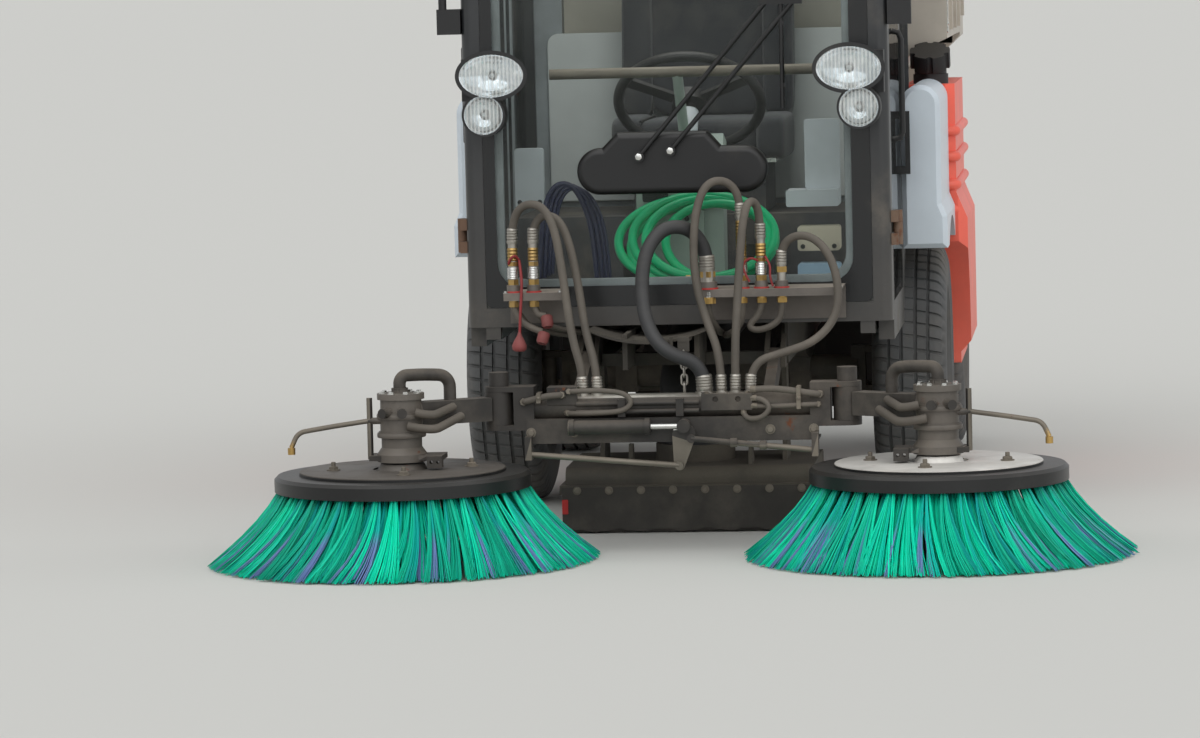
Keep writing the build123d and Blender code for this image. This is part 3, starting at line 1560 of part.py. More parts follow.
# Hose ports on the beam: x and radius
ports = ((-216.0, 12.0), (-182.0, 12.0), (78.0, 19.0), (118.0, 12.0), (152.0, 12.0), (188.0, 12.0))
port_nut_h = 10.0
with BuildPart() as lift_frame:
    bar((-beam_half, beam_y, beam_z), (beam_half, beam_y, beam_z), beam_r)
    # Channel under the beam, open to the rear
    plate_yz(
        [
            (channel_rear_y, channel_top_z + 6),
            (channel_front_y, channel_top_z + 6),
            (channel_front_y, channel_bottom_z),
            (channel_rear_y, channel_bottom_z),
            (channel_rear_y, channel_bottom_z + 6),
            (channel_front_y + 6, channel_bottom_z + 6),
            (channel_front_y + 6, channel_top_z),
            (channel_rear_y, channel_top_z),
        ],
        (-channel_half, channel_half),
    )
    for side in (-1, 1):
        # Lifting arm with its eye
        plate_yz(
            [
                (lift_y - 4, lift_z - 26),
                (beam_y, beam_z - beam_r),
                (beam_y, beam_z + beam_r),
                (lift_y + 4, lift_z + 26),
            ],
            sorted((side * (rail_x - lift_arm_t / 2), side * (rail_x + lift_arm_t / 2))),
        )
        bar(
            (side * (rail_x - lift_arm_t / 2), lift_y, lift_z),
            (side * (rail_x + lift_arm_t / 2), lift_y, lift_z),
            26,
        )
        bar(
            (side * (rail_x - lift_arm_t), lift_y, lift_z),
            (side * (rail_x + lift_arm_t), lift_y, lift_z),
            lift_pin_r + running_gap,
            mode=Mode.SUBTRACT,
        )
        # Fork, pin and cap of the brush arm's pivot
        block(
            sorted((side * (beam_half - 40), side * (arm_pivot_x - pivot_hub_r - hub_gap))),
            (beam_y - 34, beam_y + 34),
            (fork_bottom_z - pivot_plate_t, fork_top_z + pivot_plate_t),
        )
        for z in (fork_bottom_z - pivot_plate_t, fork_top_z):
            block(
                sorted((side * (beam_half - 40), side * arm_pivot_x)),
                (beam_y - 34, beam_y + 34),
                (z, z + pivot_plate_t),
            )
            bar((side * arm_pivot_x, beam_y, z), (side * arm_pivot_x, beam_y, z + pivot_plate_t), 34)
        bar(
            (side * arm_pivot_x, beam_y, fork_bottom_z - pivot_plate_t),
            (side * arm_pivot_x, beam_y, cap_top_z),
            pivot_pin_r,
        )
        bar(
            (side * arm_pivot_x, beam_y, fork_top_z + pivot_plate_t),
            (side * arm_pivot_x, beam_y, cap_top_z),
            24,
        )
    for x, r in ports:
        bar((x, beam_y, beam_z), (x, beam_y, hose_port_z), r)
        bar((x, beam_y, hose_port_z - port_nut_h - 3), (x, beam_y, hose_port_z - 3), r + 4)
    # Valve block and pipes along the beam with their clamps
    block(valve_x, (beam_y - 34, beam_y + 26), (beam_z + 8, beam_z + 50))
    for z in pipe_z:
        bar((valve_x[1] - 2, beam_y - beam_r - 3, z), (pipe_end_x, beam_y - beam_r - 3, z), pipe_r)
    for x in clamp_x:
        block((x - 9, x + 9), (beam_y - beam_r - 14, beam_y), (pipe_z[0] - 12, pipe_z[1] + 10))
    # Lifting cylinder in front of the channel, its rod, and the hanging lever
    bar((cylinder_x[0], link_y, cylinder_z), (cylinder_x[1], link_y, cylinder_z), 17)
    for x in (cylinder_x[0] + 8, cylinder_x[1] - 8):
        bar((x - 6, link_y, cylinder_z), (x + 6, link_y, cylinder_z), 20)
        block((x - 6, x + 6), (link_y, channel_front_y + 2), (cylinder_z - 8, cylinder_z + 8))
    bar((cylinder_x[1] - 2, link_y, cylinder_z), (lever_x, link_y, cylinder_z), 7)
    bar((lever_x, link_y - 12, cylinder_z), (lever_x, channel_front_y + 2, cylinder_z), 16)
    with BuildSketch(Plane.XZ.offset(-(link_y + 10))) as lever:
        with Locations((lever_x, cylinder_z - 22)):
            Circle(28)
        with Locations((lever_x - 12, lever_low_z)):
            Circle(13)
        make_hull()
    extrude(lever.sketch, amount=10)
    # Tie rods from the lever's foot and its side to the end brackets
    for x, z, end_x in (
        (lever_x - 12, lever_low_z, -channel_half + 6),
        (lever_x + 18, cylinder_z - 30, channel_half - 6),
    ):
        bar((x, link_y - 12, z), (x, link_y + 2, z), 10)
        bar((x, link_y - 6, z), (end_x, link_y - 6, rod_end_z), 7)
    turnbuckle_x = (150.0, 220.0)
    for x in turnbuckle_x:
        share = (x - lever_x - 18) / (channel_half - 6 - lever_x - 18)
        z = cylinder_z - 30 + share * (rod_end_z - cylinder_z + 30)
        bar((x - 8, link_y - 6, z), (x + 8, link_y - 6, z), 11)
    for side in (-1, 1):
        block(
            sorted((side * (channel_half - 16), side * channel_half)),
            (link_y - 14, channel_front_y + 2),
            (rod_end_z - 14, channel_bottom_z + 20),
        )
    # Middle bracket box with two holes
    block(box_x, (beam_y - 42, beam_y + 30), box_z)
    for x in (box_x[0] + 34, box_x[1] - 34):
        bar((x, beam_y - 43, box_z[1] - 13), (x, beam_y - 34, box_z[1] - 13), 7, mode=Mode.SUBTRACT)
finish(lift_frame.part, "lift_frame")

# Brush arms, each with its hydraulic motor

arm_angle = degrees(atan2(brush_y - beam_y, brush_x - arm_pivot_x))
arm_len = Vector(brush_x - arm_pivot_x, brush_y - beam_y).length
arm_plane = Plane(
    origin=(arm_pivot_x, beam_y, 0),
    x_dir=(cos(radians(arm_angle)), sin(radians(arm_angle)), 0),
    z_dir=(0, 0, 1),
)
# Motor section: radius and height from the foot to the cap
motor_steps = (
    (60.0, motor_bottom_z),
    (60.0, motor_bottom_z + 18),
    (motor_r - 4, motor_bottom_z + 34),
    (motor_r - 4, motor_bottom_z + 62),
    (motor_r + 2, motor_bottom_z + 62),
    (motor_r + 2, motor_bottom_z + 72),
    (motor_r - 2, motor_bottom_z + 72),
    (motor_r - 2, motor_bottom_z + 108),
    (motor_r + 2, motor_bottom_z + 108),
    (motor_r + 2, motor_bottom_z + 118),
    (motor_r - 3, motor_bottom_z + 118),
    (motor_r - 3, motor_top_z - 14),
    (motor_r + 4, motor_top_z - 14),
    (motor_r + 4, motor_top_z),
)
motor_port_z = motor_top_z - 44
motor_port_turns = (-60.0, -100.0)
elbow_r = 15.0
elbow_points = [
    (brush_x - 110, brush_y + 67, beam_z + 24),
    (brush_x - 110, brush_y + 67, 440),
    (brush_x - 52, brush_y + 32, 446),
    (brush_x + 2, brush_y + 2, 446),
    (brush_x + 2, brush_y + 2, motor_top_z - 2),
]
spray_points = [
    (brush_x + 78, brush_y - 12, 340),
    (brush_x + 170, brush_y - 22, 328),
    (brush_x + 246, brush_y - 30, 316),
    (brush_x + 262, brush_y - 32, 280),
]
hub_low_z = beam_z - pivot_hub_h / 2
hub_high_z = beam_z + pivot_hub_h / 2
with BuildPart() as brush_arm:
    bar((arm_pivot_x, beam_y, hub_low_z), (arm_pivot_x, beam_y, hub_high_z), pivot_hub_r)
    with Locations(arm_plane.location):
        with Locations((arm_len / 2, 0, beam_z)):
            Box(arm_len - 60, 50, 56)
    bar(
        (arm_pivot_x, beam_y, hub_low_z - 1),
        (arm_pivot_x, beam_y, hub_high_z + 1),
        pivot_pin_r + running_gap,
        mode=Mode.SUBTRACT,
    )
    # Motor with its foot flange, two bands and a cap
    with BuildSketch(Plane.XZ.offset(-brush_y)) as motor:
        with BuildLine():
            Polyline(
                (brush_x, motor_bottom_z),
                *[(brush_x + r, z) for r, z in motor_steps],
                (brush_x, motor_steps[-1][1]),
                close=True,
            )
        make_face()
    revolve(motor.sketch, axis=Axis((brush_x, brush_y, 0), (0, 0, 1)))
    for turn in motor_port_turns:
        with Locations(Location((brush_x, brush_y, motor_port_z), (0, 0, turn))):
            with Locations(Location((motor_r + 4, 0, 0), (0, 90, 0))):
                Cylinder(12, 36)
    bar((brush_x, brush_y, motor_bottom_z - 36), (brush_x, brush_y, motor_bottom_z), shaft_r)
    # Foot plate with a square block that has two holes
    block(
        (brush_x - 104, brush_x + 74),
        (brush_y - 40, brush_y + 40),
        (motor_bottom_z + 4, motor_bottom_z + 16),
    )
    block(
        (brush_x - 104, brush_x - 68),
        (brush_y - 66, brush_y - 38),
        (motor_bottom_z - 12, motor_bottom_z + 16),
    )
    for x in (brush_x - 94, brush_x - 78):
        bar(
            (x, brush_y - 67, motor_bottom_z + 2),
            (x, brush_y - 37, motor_bottom_z + 2),
            4,
            mode=Mode.SUBTRACT,
        )
    # Bent pipe from the arm to the motor's cap
    pipe(elbow_points, elbow_r)
    bar(elbow_points[-1], (elbow_points[-1][0], elbow_points[-1][1], motor_top_z + 12), elbow_r + 5)
    # Upright rod and the spray pipe with its bent end
    bar((brush_x + 74, brush_y - 12, motor_bottom_z + 6), (brush_x + 74, brush_y - 12, motor_top_z - 10), 7)
    pipe(spray_points, 6)
    bar(spray_points[-1], tuple(Vector(*spray_points[-1]) - Vector(0, 0, 16)), 9)
    bar((brush_x + 30, brush_y - 12, spray_points[0][2]), spray_points[0], 8)
both(brush_arm.part, "brush_arm_left", "brush_arm_right")

# Brush discs: a raised steel plate on a thick ring that holds the tufts

disc_z = 200.0
with BuildPart() as brush_disc:
    with BuildSketch(Plane.XZ.offset(-brush_y)):
        with BuildLine():
            Polyline(
                (brush_x + shaft_r + running_gap, disc_z),
                (brush_x + ring_in_r - 20, disc_z),
                (brush_x + ring_in_r, ring_bottom_z),
                (brush_x + ring_r, ring_bottom_z),
                (brush_x + ring_r, ring_top_z - 8),
                (brush_x + ring_r - 8, ring_top_z),
                (brush_x + ring_in_r - 3, ring_top_z),
                (brush_x + ring_in_r - 3, ring_top_z + disc_t),
                (brush_x + 60, ring_top_z + disc_t),
                (brush_x + 52, motor_bottom_z - 5),
                (brush_x + shaft_r + running_gap, motor_bottom_z - 5),
                close=True,
            )
        make_face()
    revolve(axis=Axis((brush_x, brush_y, 0), (0, 0, 1)))
both(brush_disc.part, "brush_disc_left", "brush_disc_right")

# Bristles: a skirt of tufts that splay from the ring to the ground

with BuildPart() as bristles:
    with BuildSketch(Plane.XZ.offset(-brush_y)):
        with BuildLine():
            Polyline(
                (brush_x + ring_in_r + 4, ring_bottom_z),
                (brush_x + ring_r - 4, ring_bottom_z),
                (brush_x + 372, 90),
                (brush_x + brush_r, bristle_floor_gap),
                (brush_x + brush_r - 56, bristle_floor_gap),
                (brush_x + 322, 90),
                close=True,
            )
        make_face()
    revolve(
        axis=Axis((brush_x, brush_y, 0), (0, 0, 1)),
    )
    with Locations((brush_x, brush_y, 0)):
        with PolarLocations(brush_r + 6, tuft_count):
            with Locations(Location((0, 0, 30), (0, -35, 0))):
                Box(70, 10, 200, mode=Mode.SUBTRACT)
both(bristles.part, "bristles_left", "bristles_right")

# Hoses from the couplers to the beam, each with its chosen points, and the chain

hoses = {
    "hose_left_outer": (hose_d, [
        (-393, -1050, 742), (-393, -1050, 792), (-366, -1066, 838), (-314, -1090, 838), (-283, -1112, 786),
        (-267, -1124, 700), (-254, -1138, 600), (-238, -1156, 505), (-216, -1170, 438), (-216, -1170, 388),
    ]),
    "hose_left_inner": (hose_d, [
        (-343, -1050, 742), (-343, -1050, 780), (-318, -1048, 812), (-276, -1058, 802), (-248, -1076, 736),
        (-228, -1096, 636), (-212, -1122, 530), (-182, -1170, 444), (-182, -1170, 388),
    ]),
    "hose_conduit": (conduit_d, [
        (80, -1050, 668), (80, -1050, 722), (40, -1076, 776), (-20, -1104, 778), (-62, -1128, 722),
        (-72, -1146, 636), (-60, -1170, 548), (-16, -1194, 482), (78, -1170, 450), (78, -1170, 388),
    ]),
    "hose_mid_loop": (hose_d, [
        (164, -1050, 793), (164, -1050, 842), (138, -1062, 884), (92, -1080, 886), (64, -1092, 838),
        (52, -1104, 746), (56, -1112, 646), (78, -1118, 560), (118, -1170, 470), (118, -1170, 388),
    ]),
    "hose_mid": (hose_d, [
        (211, -1050, 743), (211, -1050, 790), (203, -1066, 832), (186, -1096, 836), (174, -1116, 790),
        (166, -1126, 700), (158, -1140, 590), (152, -1170, 480), (152, -1170, 388),
    ]),
    "hose_right": (hose_d, [
        (260, -1050, 677), (260, -1050, 716), (286, -1058, 748), (334, -1074, 750), (378, -1090, 710),
        (402, -1104, 632), (394, -1120, 552), (344, -1140, 498), (274, -1160, 476), (188, -1170, 452),
        (188, -1170, 388),
    ]),
}
for name, (diameter, points) in hoses.items():
    with BuildPart() as hose:
        length, radii = pipe(points, diameter / 2)
    finish(hose.part, name)
    ratio = hose.part.volume / (3.14159265 * diameter**2 / 4 * length)
    print(name, "length", round(length), "radii", [round(r) for r in radii], "volume ratio", round(ratio, 4))

link_t = 6.0
link_hole_w = 8.0
link_count = 4
link_play = 0.4
chain_low_z = beam_z + (beam_r**2 - (chain_y - link_hole_w / 2 - link_t - beam_y) ** 2) ** 0.5 + rest_gap
pitch = (chain_high_z - chain_low_z - 2 * (rest_gap + link_t)) / link_count
with BuildPart() as chain:
    for i in range(link_count):
        mid = chain_low_z + rest_gap + link_t + pitch * (i + 0.5)
        plane = (Plane.YZ.offset(chain_x), Plane.XZ.offset(-chain_y))[i % 2]
        spot = (chain_y, mid) if i % 2 == 0 else (chain_x, mid)
        with BuildSketch(plane) as link:
            with Locations(spot):
                SlotOverall(pitch + 2 * link_t + link_play, link_hole_w + 2 * link_t, rotation=90)
                SlotOverall(pitch + link_play, link_hole_w, rotation=90, mode=Mode.SUBTRACT)
        extrude(link.sketch, amount=link_t / 2, both=True)
finish(chain.part, "chain")

# Coil of spare hose leaning inside the windscreen

coil_tilt = 62.0
coil_y = -800.0
coil_x = 30.0
coil_w = 430.0
coil_h = 270.0
coil_t = 60.0
coil_low = coil_h / 2 * sin(radians(coil_tilt)) + coil_t * cos(radians(coil_tilt)) / 2
coil_plane = Plane(
    origin=(coil_x, coil_y, floor_top_z + rest_gap + coil_low),
    x_dir=(1, 0, 0),
    z_dir=(0, -sin(radians(coil_tilt)), cos(radians(coil_tilt))),
)
with BuildPart() as hose_coil:
    with BuildSketch(coil_plane.offset(-coil_t / 2)):
        Ellipse(coil_w / 2, coil_h / 2)
        Ellipse(coil_w / 2 - 90, coil_h / 2 - 70, mode=Mode.SUBTRACT)
    extrude(amount=coil_t)
finish(hose_coil.part, "hose_coil")
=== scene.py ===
import random
from math import cos, hypot, pi, radians, sin, tau

import bmesh
import bpy
from mathutils import Matrix, Vector


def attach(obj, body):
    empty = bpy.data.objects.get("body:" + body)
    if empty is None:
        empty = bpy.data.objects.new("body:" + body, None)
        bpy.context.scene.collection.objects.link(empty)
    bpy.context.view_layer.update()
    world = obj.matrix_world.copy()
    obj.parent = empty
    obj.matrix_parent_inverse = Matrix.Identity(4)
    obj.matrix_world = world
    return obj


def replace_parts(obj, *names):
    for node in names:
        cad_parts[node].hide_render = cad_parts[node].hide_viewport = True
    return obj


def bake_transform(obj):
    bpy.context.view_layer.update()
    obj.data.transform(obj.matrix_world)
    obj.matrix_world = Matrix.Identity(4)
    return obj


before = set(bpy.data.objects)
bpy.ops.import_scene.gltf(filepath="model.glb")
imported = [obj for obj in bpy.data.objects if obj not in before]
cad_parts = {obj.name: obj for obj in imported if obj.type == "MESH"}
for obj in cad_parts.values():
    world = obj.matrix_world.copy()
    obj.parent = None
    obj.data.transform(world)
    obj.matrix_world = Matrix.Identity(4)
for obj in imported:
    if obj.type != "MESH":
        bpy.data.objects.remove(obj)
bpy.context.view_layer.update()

# Looks of a compact street sweeper around its fixed frame. Metres, +Z up, front towards -Y.

MM = 0.001


# Camera at the photograph's viewing angle

CAMERA_AT = Vector((1.088, -13.086, 1.422))
YAW, PITCH, ROLL = radians(-6.044), radians(4.67), radians(1.465)
SENSOR_MM = 36.0
LENS_MM = 150.0

ahead = Vector((sin(YAW) * cos(PITCH), cos(YAW) * cos(PITCH), -sin(PITCH)))
level = Vector((cos(YAW), -sin(YAW), 0))
upright = level.cross(ahead)
across = level * cos(ROLL) - upright * sin(ROLL)
above = upright * cos(ROLL) + level * sin(ROLL)
camera_data = bpy.data.cameras.new("camera")
camera_data.sensor_width = SENSOR_MM
camera_data.lens = LENS_MM
camera_data.clip_end = 3000
camera = bpy.data.objects.new("camera", camera_data)
camera.matrix_world = Matrix(
    (
        (across.x, above.x, -ahead.x, CAMERA_AT.x),
        (across.y, above.y, -ahead.y, CAMERA_AT.y),
        (across.z, above.z, -ahead.z, CAMERA_AT.z),
        (0, 0, 0, 1),
    )
)
bpy.context.scene.collection.objects.link(camera)
bpy.context.scene.camera = camera
bpy.context.scene.view_settings.view_transform = "Standard"


# Places and outlines in mm: seen from the front, from the side, from above


def front(u, v, d):
    return Vector((u, d, v)) * MM


def side_on(u, v, d):
    return Vector((d, u, v)) * MM


def from_above(u, v, d):
    return Vector((u, v, d)) * MM


def mm(*p):
    return Vector(p) * MM


UP = Vector((0, 0, 1))


def rounded(u0, u1, v0, v1, r, n=6):
    """Outline of a rectangle with round corners."""
    corners = ((u1 - r, v0 + r, -90), (u1 - r, v1 - r, 0), (u0 + r, v1 - r, 90), (u0 + r, v0 + r, 180))
    return [
        (cu + r * cos(radians(a + 90 * i / n)), cv + r * sin(radians(a + 90 * i / n)))
        for cu, cv, a in corners
        for i in range(n + 1)
    ]


def oval(cu, cv, a, b, n=32):
    return [(cu + a * cos(tau * i / n), cv + b * sin(tau * i / n)) for i in range(n)]


def on_side(side, near, far, v0, v1, r):
    """Such a rectangle between two distances from the middle, on one side of it."""
    return rounded(*sorted((side * near, side * far)), v0, v1, r)


def in_mm(profile):
    """A profile that is given in mm, for the lathe."""
    return [(d * MM, r * MM) for d, r in profile]


# Mesh building


def grid(rows, columns, loop=False):
    """Faces between closed rings of points, ring after ring. loop joins the last ring to the first."""
    return [
        (
            k * columns + i,
            k * columns + (i + 1) % columns,
            (k + 1) % rows * columns + (i + 1) % columns,
            (k + 1) % rows * columns + i,
        )
        for k in range(rows if loop else rows - 1)
        for i in range(columns)
    ]


def end_faces(rows, columns):
    """Faces that close the first and the last ring."""
    return [tuple(reversed(range(columns))), tuple((rows - 1) * columns + i for i in range(columns))]


def circle(centre, side, other, r, steps):
    return [
        centre + (side * cos(tau * i / steps) + other * sin(tau * i / steps)) * r for i in range(steps)
    ]


class Shape:
    """Vertices and faces of one piece, gathered part by part in the shared frame."""

    def __init__(self):
        self.verts = []
        self.faces = []
        self.slots = []
        self.notes = {}

    def add(self, verts, faces, slot=0):
        base = len(self.verts)
        self.verts += [tuple(v) for v in verts]
        self.faces += [tuple(base + i for i in f) for f in faces]
        self.slots += [slot] * len(faces)

    def box(self, low, high, slot=0):
        """A box between two corners."""
        corners = [(x, y, z) for x in (low[0], high[0]) for y in (low[1], high[1]) for z in (low[2], high[2])]
        faces = [(0, 1, 3, 2), (4, 6, 7, 5), (0, 4, 5, 1), (2, 3, 7, 6), (0, 2, 6, 4), (1, 5, 7, 3)]
        self.add(corners, faces, slot)

    def lathe(self, profile, start, end, steps=24, slot=0, closed=False):
        """Rings of (distance along, radius) turned about the line from start towards end."""
        start, axis = Vector(start), (Vector(end) - Vector(start)).normalized()
        side = axis.orthogonal().normalized()
        other = axis.cross(side)
        verts = [v for d, r in profile for v in circle(start + axis * d, side, other, r, steps)]
        faces = grid(len(profile), steps, closed)
        self.add(verts, faces if closed else faces + end_faces(len(profile), steps), slot)

    def rod(self, start, end, r, steps=16, slot=0):
        """A round bar with a small chamfer at both ends."""
        length = (Vector(end) - Vector(start)).length
        edge = min(r * 0.15, length * 0.2)
        profile = [(0, r - edge), (edge, r), (length - edge, r), (length, r - edge)]
        self.lathe(profile, start, end, steps, slot)

    def bolt(self, at, out, r, height, slot=0):
        """A hexagon head on a washer, standing on a face that looks along out."""
        at, out = Vector(at), Vector(out).normalized()
        self.lathe([(0, r * 1.5), (height * 0.25, r * 1.5)], at, at + out, 16, slot)
        head = [(height * 0.25, r * 1.1), (height * 0.85, r * 1.1), (height, r * 0.9)]
        self.lathe(head, at, at + out, 6, slot)

    def tube(self, points, radius, steps=12, slot=0):
        """A tube along points."""
        points = [Vector(p) for p in points]
        verts, side = [], None
        for k, p in enumerate(points):
            axis = (points[min(k + 1, len(points) - 1)] - points[max(k - 1, 0)]).normalized()
            side = axis.orthogonal() if side is None else side - axis * side.dot(axis)
            side = side.normalized()
            verts += circle(p, side, axis.cross(side), radius, steps)
        self.add(verts, grid(len(points), steps) + end_faces(len(points), steps), slot)

    def run(self, route, radius, sides=12, slot=0, steps=14):
        """A tube on the smooth curve of a route, all in mm."""
        self.tube(smooth_line(route, steps), radius * MM, sides, slot)

    def ring(self, points, radius, steps=10, slot=0):
        """A closed loop of tube."""
        points = [Vector(p) for p in points]
        count = len(points)
        middle = sum(points, Vector()) / count
        verts = []
        for k, p in enumerate(points):
            axis = (points[(k + 1) % count] - points[k - 1]).normalized()
            side = p - middle
            side = (side - axis * side.dot(axis)).normalized()
            verts += circle(p, side, axis.cross(side), radius, steps)
        self.add(verts, grid(count, steps, loop=True), slot)

    def slab(self, outline, low, high, slot=0, at=front):
        """A flat plate with an outline. at turns two outline values and a depth into a point."""
        n = len(outline)
        self.add(
            [at(u, v, d) for d in (low, high) for u, v in outline],
            [tuple(range(n)), tuple(reversed(range(n, 2 * n)))]
            + [(i, n + i, n + (i + 1) % n, (i + 1) % n) for i in range(n)],
            slot,
        )

    def band(self, outer, inner, low, high):
        """A flat ring, seen from the front, between two outlines of as many points."""
        n = len(outer)
        faces = []
        for i in range(n):
            j = (i + 1) % n
            faces += [
                (i, j, n + j, n + i),
                (2 * n + i, 3 * n + i, 3 * n + j, 2 * n + j),
                (i, 2 * n + i, 2 * n + j, j),
                (n + i, n + j, 3 * n + j, 3 * n + i),
            ]
        self.add([front(u, v, d) for d in (low, high) for u, v in outer + inner], faces)

    def piece(self, name, body, materials, finish_slot=None, smooth=35.0, bevel=0.0, closed=True):
        """The finished object, riding on a body."""
        mesh = bpy.data.meshes.new(name)
        mesh.from_pydata(self.verts, [], self.faces)
        for material in materials:
            mesh.materials.append(looks[material])
        mesh.polygons.foreach_set("material_index", self.slots)
        mesh.polygons.foreach_set("use_smooth", [True] * len(mesh.polygons))
        for note, values in self.notes.items():
            mesh.attributes.new(note, "FLOAT", "POINT").data.foreach_set("value", values)
        mesh.update()
        if closed:
            work = bmesh.new()
            work.from_mesh(mesh)
            bmesh.ops.recalc_face_normals(work, faces=work.faces)
            work.to_mesh(mesh)
            work.free()
        mesh.set_sharp_from_angle(angle=radians(smooth))
        obj = bpy.data.objects.new(name, mesh)
        bpy.context.scene.collection.objects.link(obj)
        if bevel:
            edge = obj.modifiers.new("bevel", "BEVEL")
            edge.width = bevel
            edge.segments = 2
            edge.limit_method = "ANGLE"
            edge.angle_limit = radians(35)
            edge.harden_normals = True
        if body:
            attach(obj, body)
        return obj


# Materials


def rgb(r, g, b):
    """A colour given as it shows on a screen, 0 to 255, as Blender's own linear numbers."""
    shares = (r / 255, g / 255, b / 255)
    return *(c / 12.92 if c <= 0.04045 else ((c + 0.055) / 1.055) ** 2.4 for c in shares), 1.0


def put(socket, value):
    """Link or set one input."""
    if isinstance(value, bpy.types.NodeSocket):
        socket.id_data.links.new(value, socket)
    else:
        socket.default_value = value


class Paint:
    """A material under construction."""

    def __init__(self, name):
        self.material = bpy.data.materials.new(name)
        self.material.use_nodes = True
        self.tree = self.material.node_tree
        self.tree.nodes.clear()
        self.out = self.tree.nodes.new("ShaderNodeOutputMaterial")
        self.place = self.node("TexCoord").outputs["Object"]

    def node(self, kind, inputs=None, **settings):
        made = self.tree.nodes.new("ShaderNode" + kind)
        for key, value in settings.items():
            setattr(made, key, value)
        for key, value in (inputs or {}).items():
            put(made.inputs[key], value)
        return made

    def math(self, operation, a, b, clamp=False):
        made = self.node("Math", {0: a, 1: b}, operation=operation)
        made.use_clamp = clamp
        return made.outputs[0]

    def noise(self, scale, detail, rough=0.6, stretch=None):
        place = self.place
        if stretch:
            place = self.node("Mapping", {"Vector": place, "Scale": stretch}).outputs[0]
        cloud = {"Vector": place, "Scale": scale, "Detail": detail, "Roughness": rough}
        return self.node("TexNoise", cloud).outputs["Fac"]

    def wave(self, scale, direction, distortion=0.0):
        bands = {"Vector": self.place, "Scale": scale, "Distortion": distortion}
        return self.node("TexWave", bands, bands_direction=direction).outputs["Fac"]

    def span(self, value, low, high, to_low=0.0, to_high=1.0):
        ends = {0: value, 1: low, 2: high, 3: to_low, 4: to_high}
        return self.node("MapRange", ends, interpolation_type="SMOOTHSTEP").outputs[0]

    def mix(self, share, a, b):
        made = self.node("Mix", data_type="RGBA")
        put(made.inputs[0], share)
        put(made.inputs[6], a)
        put(made.inputs[7], b)
        return made.outputs[2]

    def bump(self, height, distance):
        return self.node("Bump", {"Height": height, "Distance": distance, "Strength": 1.0}).outputs[0]

    def principled(self, **inputs):
        shader = self.node("BsdfPrincipled")
        for key, value in inputs.items():
            put(shader.inputs[key.replace("_", " ")], value)
        self.tree.links.new(shader.outputs[0], self.out.inputs[0])
        return shader

    def see_through(self, share, tint, pane):
        """Tinted light passes, but for a share that meets the pane's own surface."""
        through = self.node("BsdfTransparent", {"Color": tint}).outputs[0]
        both = self.node("MixShader", {0: share, 1: through, 2: pane.outputs[0]})
        self.tree.links.new(both.outputs[0], self.out.inputs[0])


def shade(colour, factor):
    return *(min(1.0, c * factor) for c in colour[:3]), 1.0


DUST = (128, 118, 104)
RUST = rgb(112, 66, 40)
TONE_SCALE, PATCH_SCALE, RUST_SCALE, RUST_TONE_SCALE, FILM_SCALE = 7.0, 4.5, 13, 60, 3.0
# Heights in metres between which the road's dust thins out
ROAD_DUST = (0.15, 1.1)
DUSTY_ROUGHNESS, COAT_ROUGHNESS = 0.85, 0.12
# Shares of a window pane that its film of dust covers at the least and the most, and the gloss at its edge
FILM_LEAST, FILM_MOST, PANE_GLOSS = 0.02, 0.08, 0.9


def finish_of(
    name, colour, rough, metal=0.0, vary=0.18, dust=0.3, dust_colour=DUST, low=0.0, top=0.25, rust=0.0,
    grain=260.0, grain_depth=0.0002, coat=0.0, stretch=None,
):
    """A used surface: uneven colour, dust that gathers low down and on top, and rust spots."""
    p = Paint(name)
    colour, dust_colour = rgb(*colour), rgb(*dust_colour)
    tone = p.mix(p.span(p.noise(TONE_SCALE, 8), 0.3, 0.7), shade(colour, 1 - vary), shade(colour, 1 + vary))
    patches = p.noise(PATCH_SCALE, 9, 0.65, stretch)
    height = p.node("SeparateXYZ", {0: p.place}).outputs[2]
    facing_up = p.node("SeparateXYZ", {0: p.node("NewGeometry").outputs["Normal"]}).outputs[2]
    share = p.span(patches, 0.62 - dust * 0.5, 0.78, 0.0, min(1.0, dust * 1.6))
    lower = p.span(height, *ROAD_DUST, low, 0.0)
    lying = p.math("MULTIPLY", p.math("MAXIMUM", facing_up, 0.0), top)
    settled = p.math("MULTIPLY", p.math("ADD", lower, lying), p.span(patches, 0.2, 0.6, 0.5, 1.0))
    share = p.math("ADD", share, settled, clamp=True)
    fine = p.noise(grain, 3, 0.7)
    tone = p.mix(share, tone, p.mix(fine, shade(dust_colour, 0.8), shade(dust_colour, 1.15)))
    if rust:
        spots = p.span(p.noise(RUST_SCALE, 10, 0.75), 0.66 - rust * 0.22, 0.74 - rust * 0.14)
        tone = p.mix(spots, tone, p.mix(p.noise(RUST_TONE_SCALE, 5), RUST, shade(RUST, 0.55)))
        share = p.math("MAXIMUM", share, spots)
    shader = p.principled(
        Base_Color=tone,
        Metallic=p.math("MULTIPLY", p.math("SUBTRACT", 1.0, share), metal) if metal else 0.0,
        Roughness=p.span(share, 0.0, 1.0, rough, max(rough, DUSTY_ROUGHNESS)),
        Normal=p.bump(p.math("ADD", fine, p.math("MULTIPLY", share, 0.6)), grain_depth),
    )
    if coat:
        shader.inputs["Coat Weight"].default_value = coat
        shader.inputs["Coat Roughness"].default_value = COAT_ROUGHNESS
    return p.material


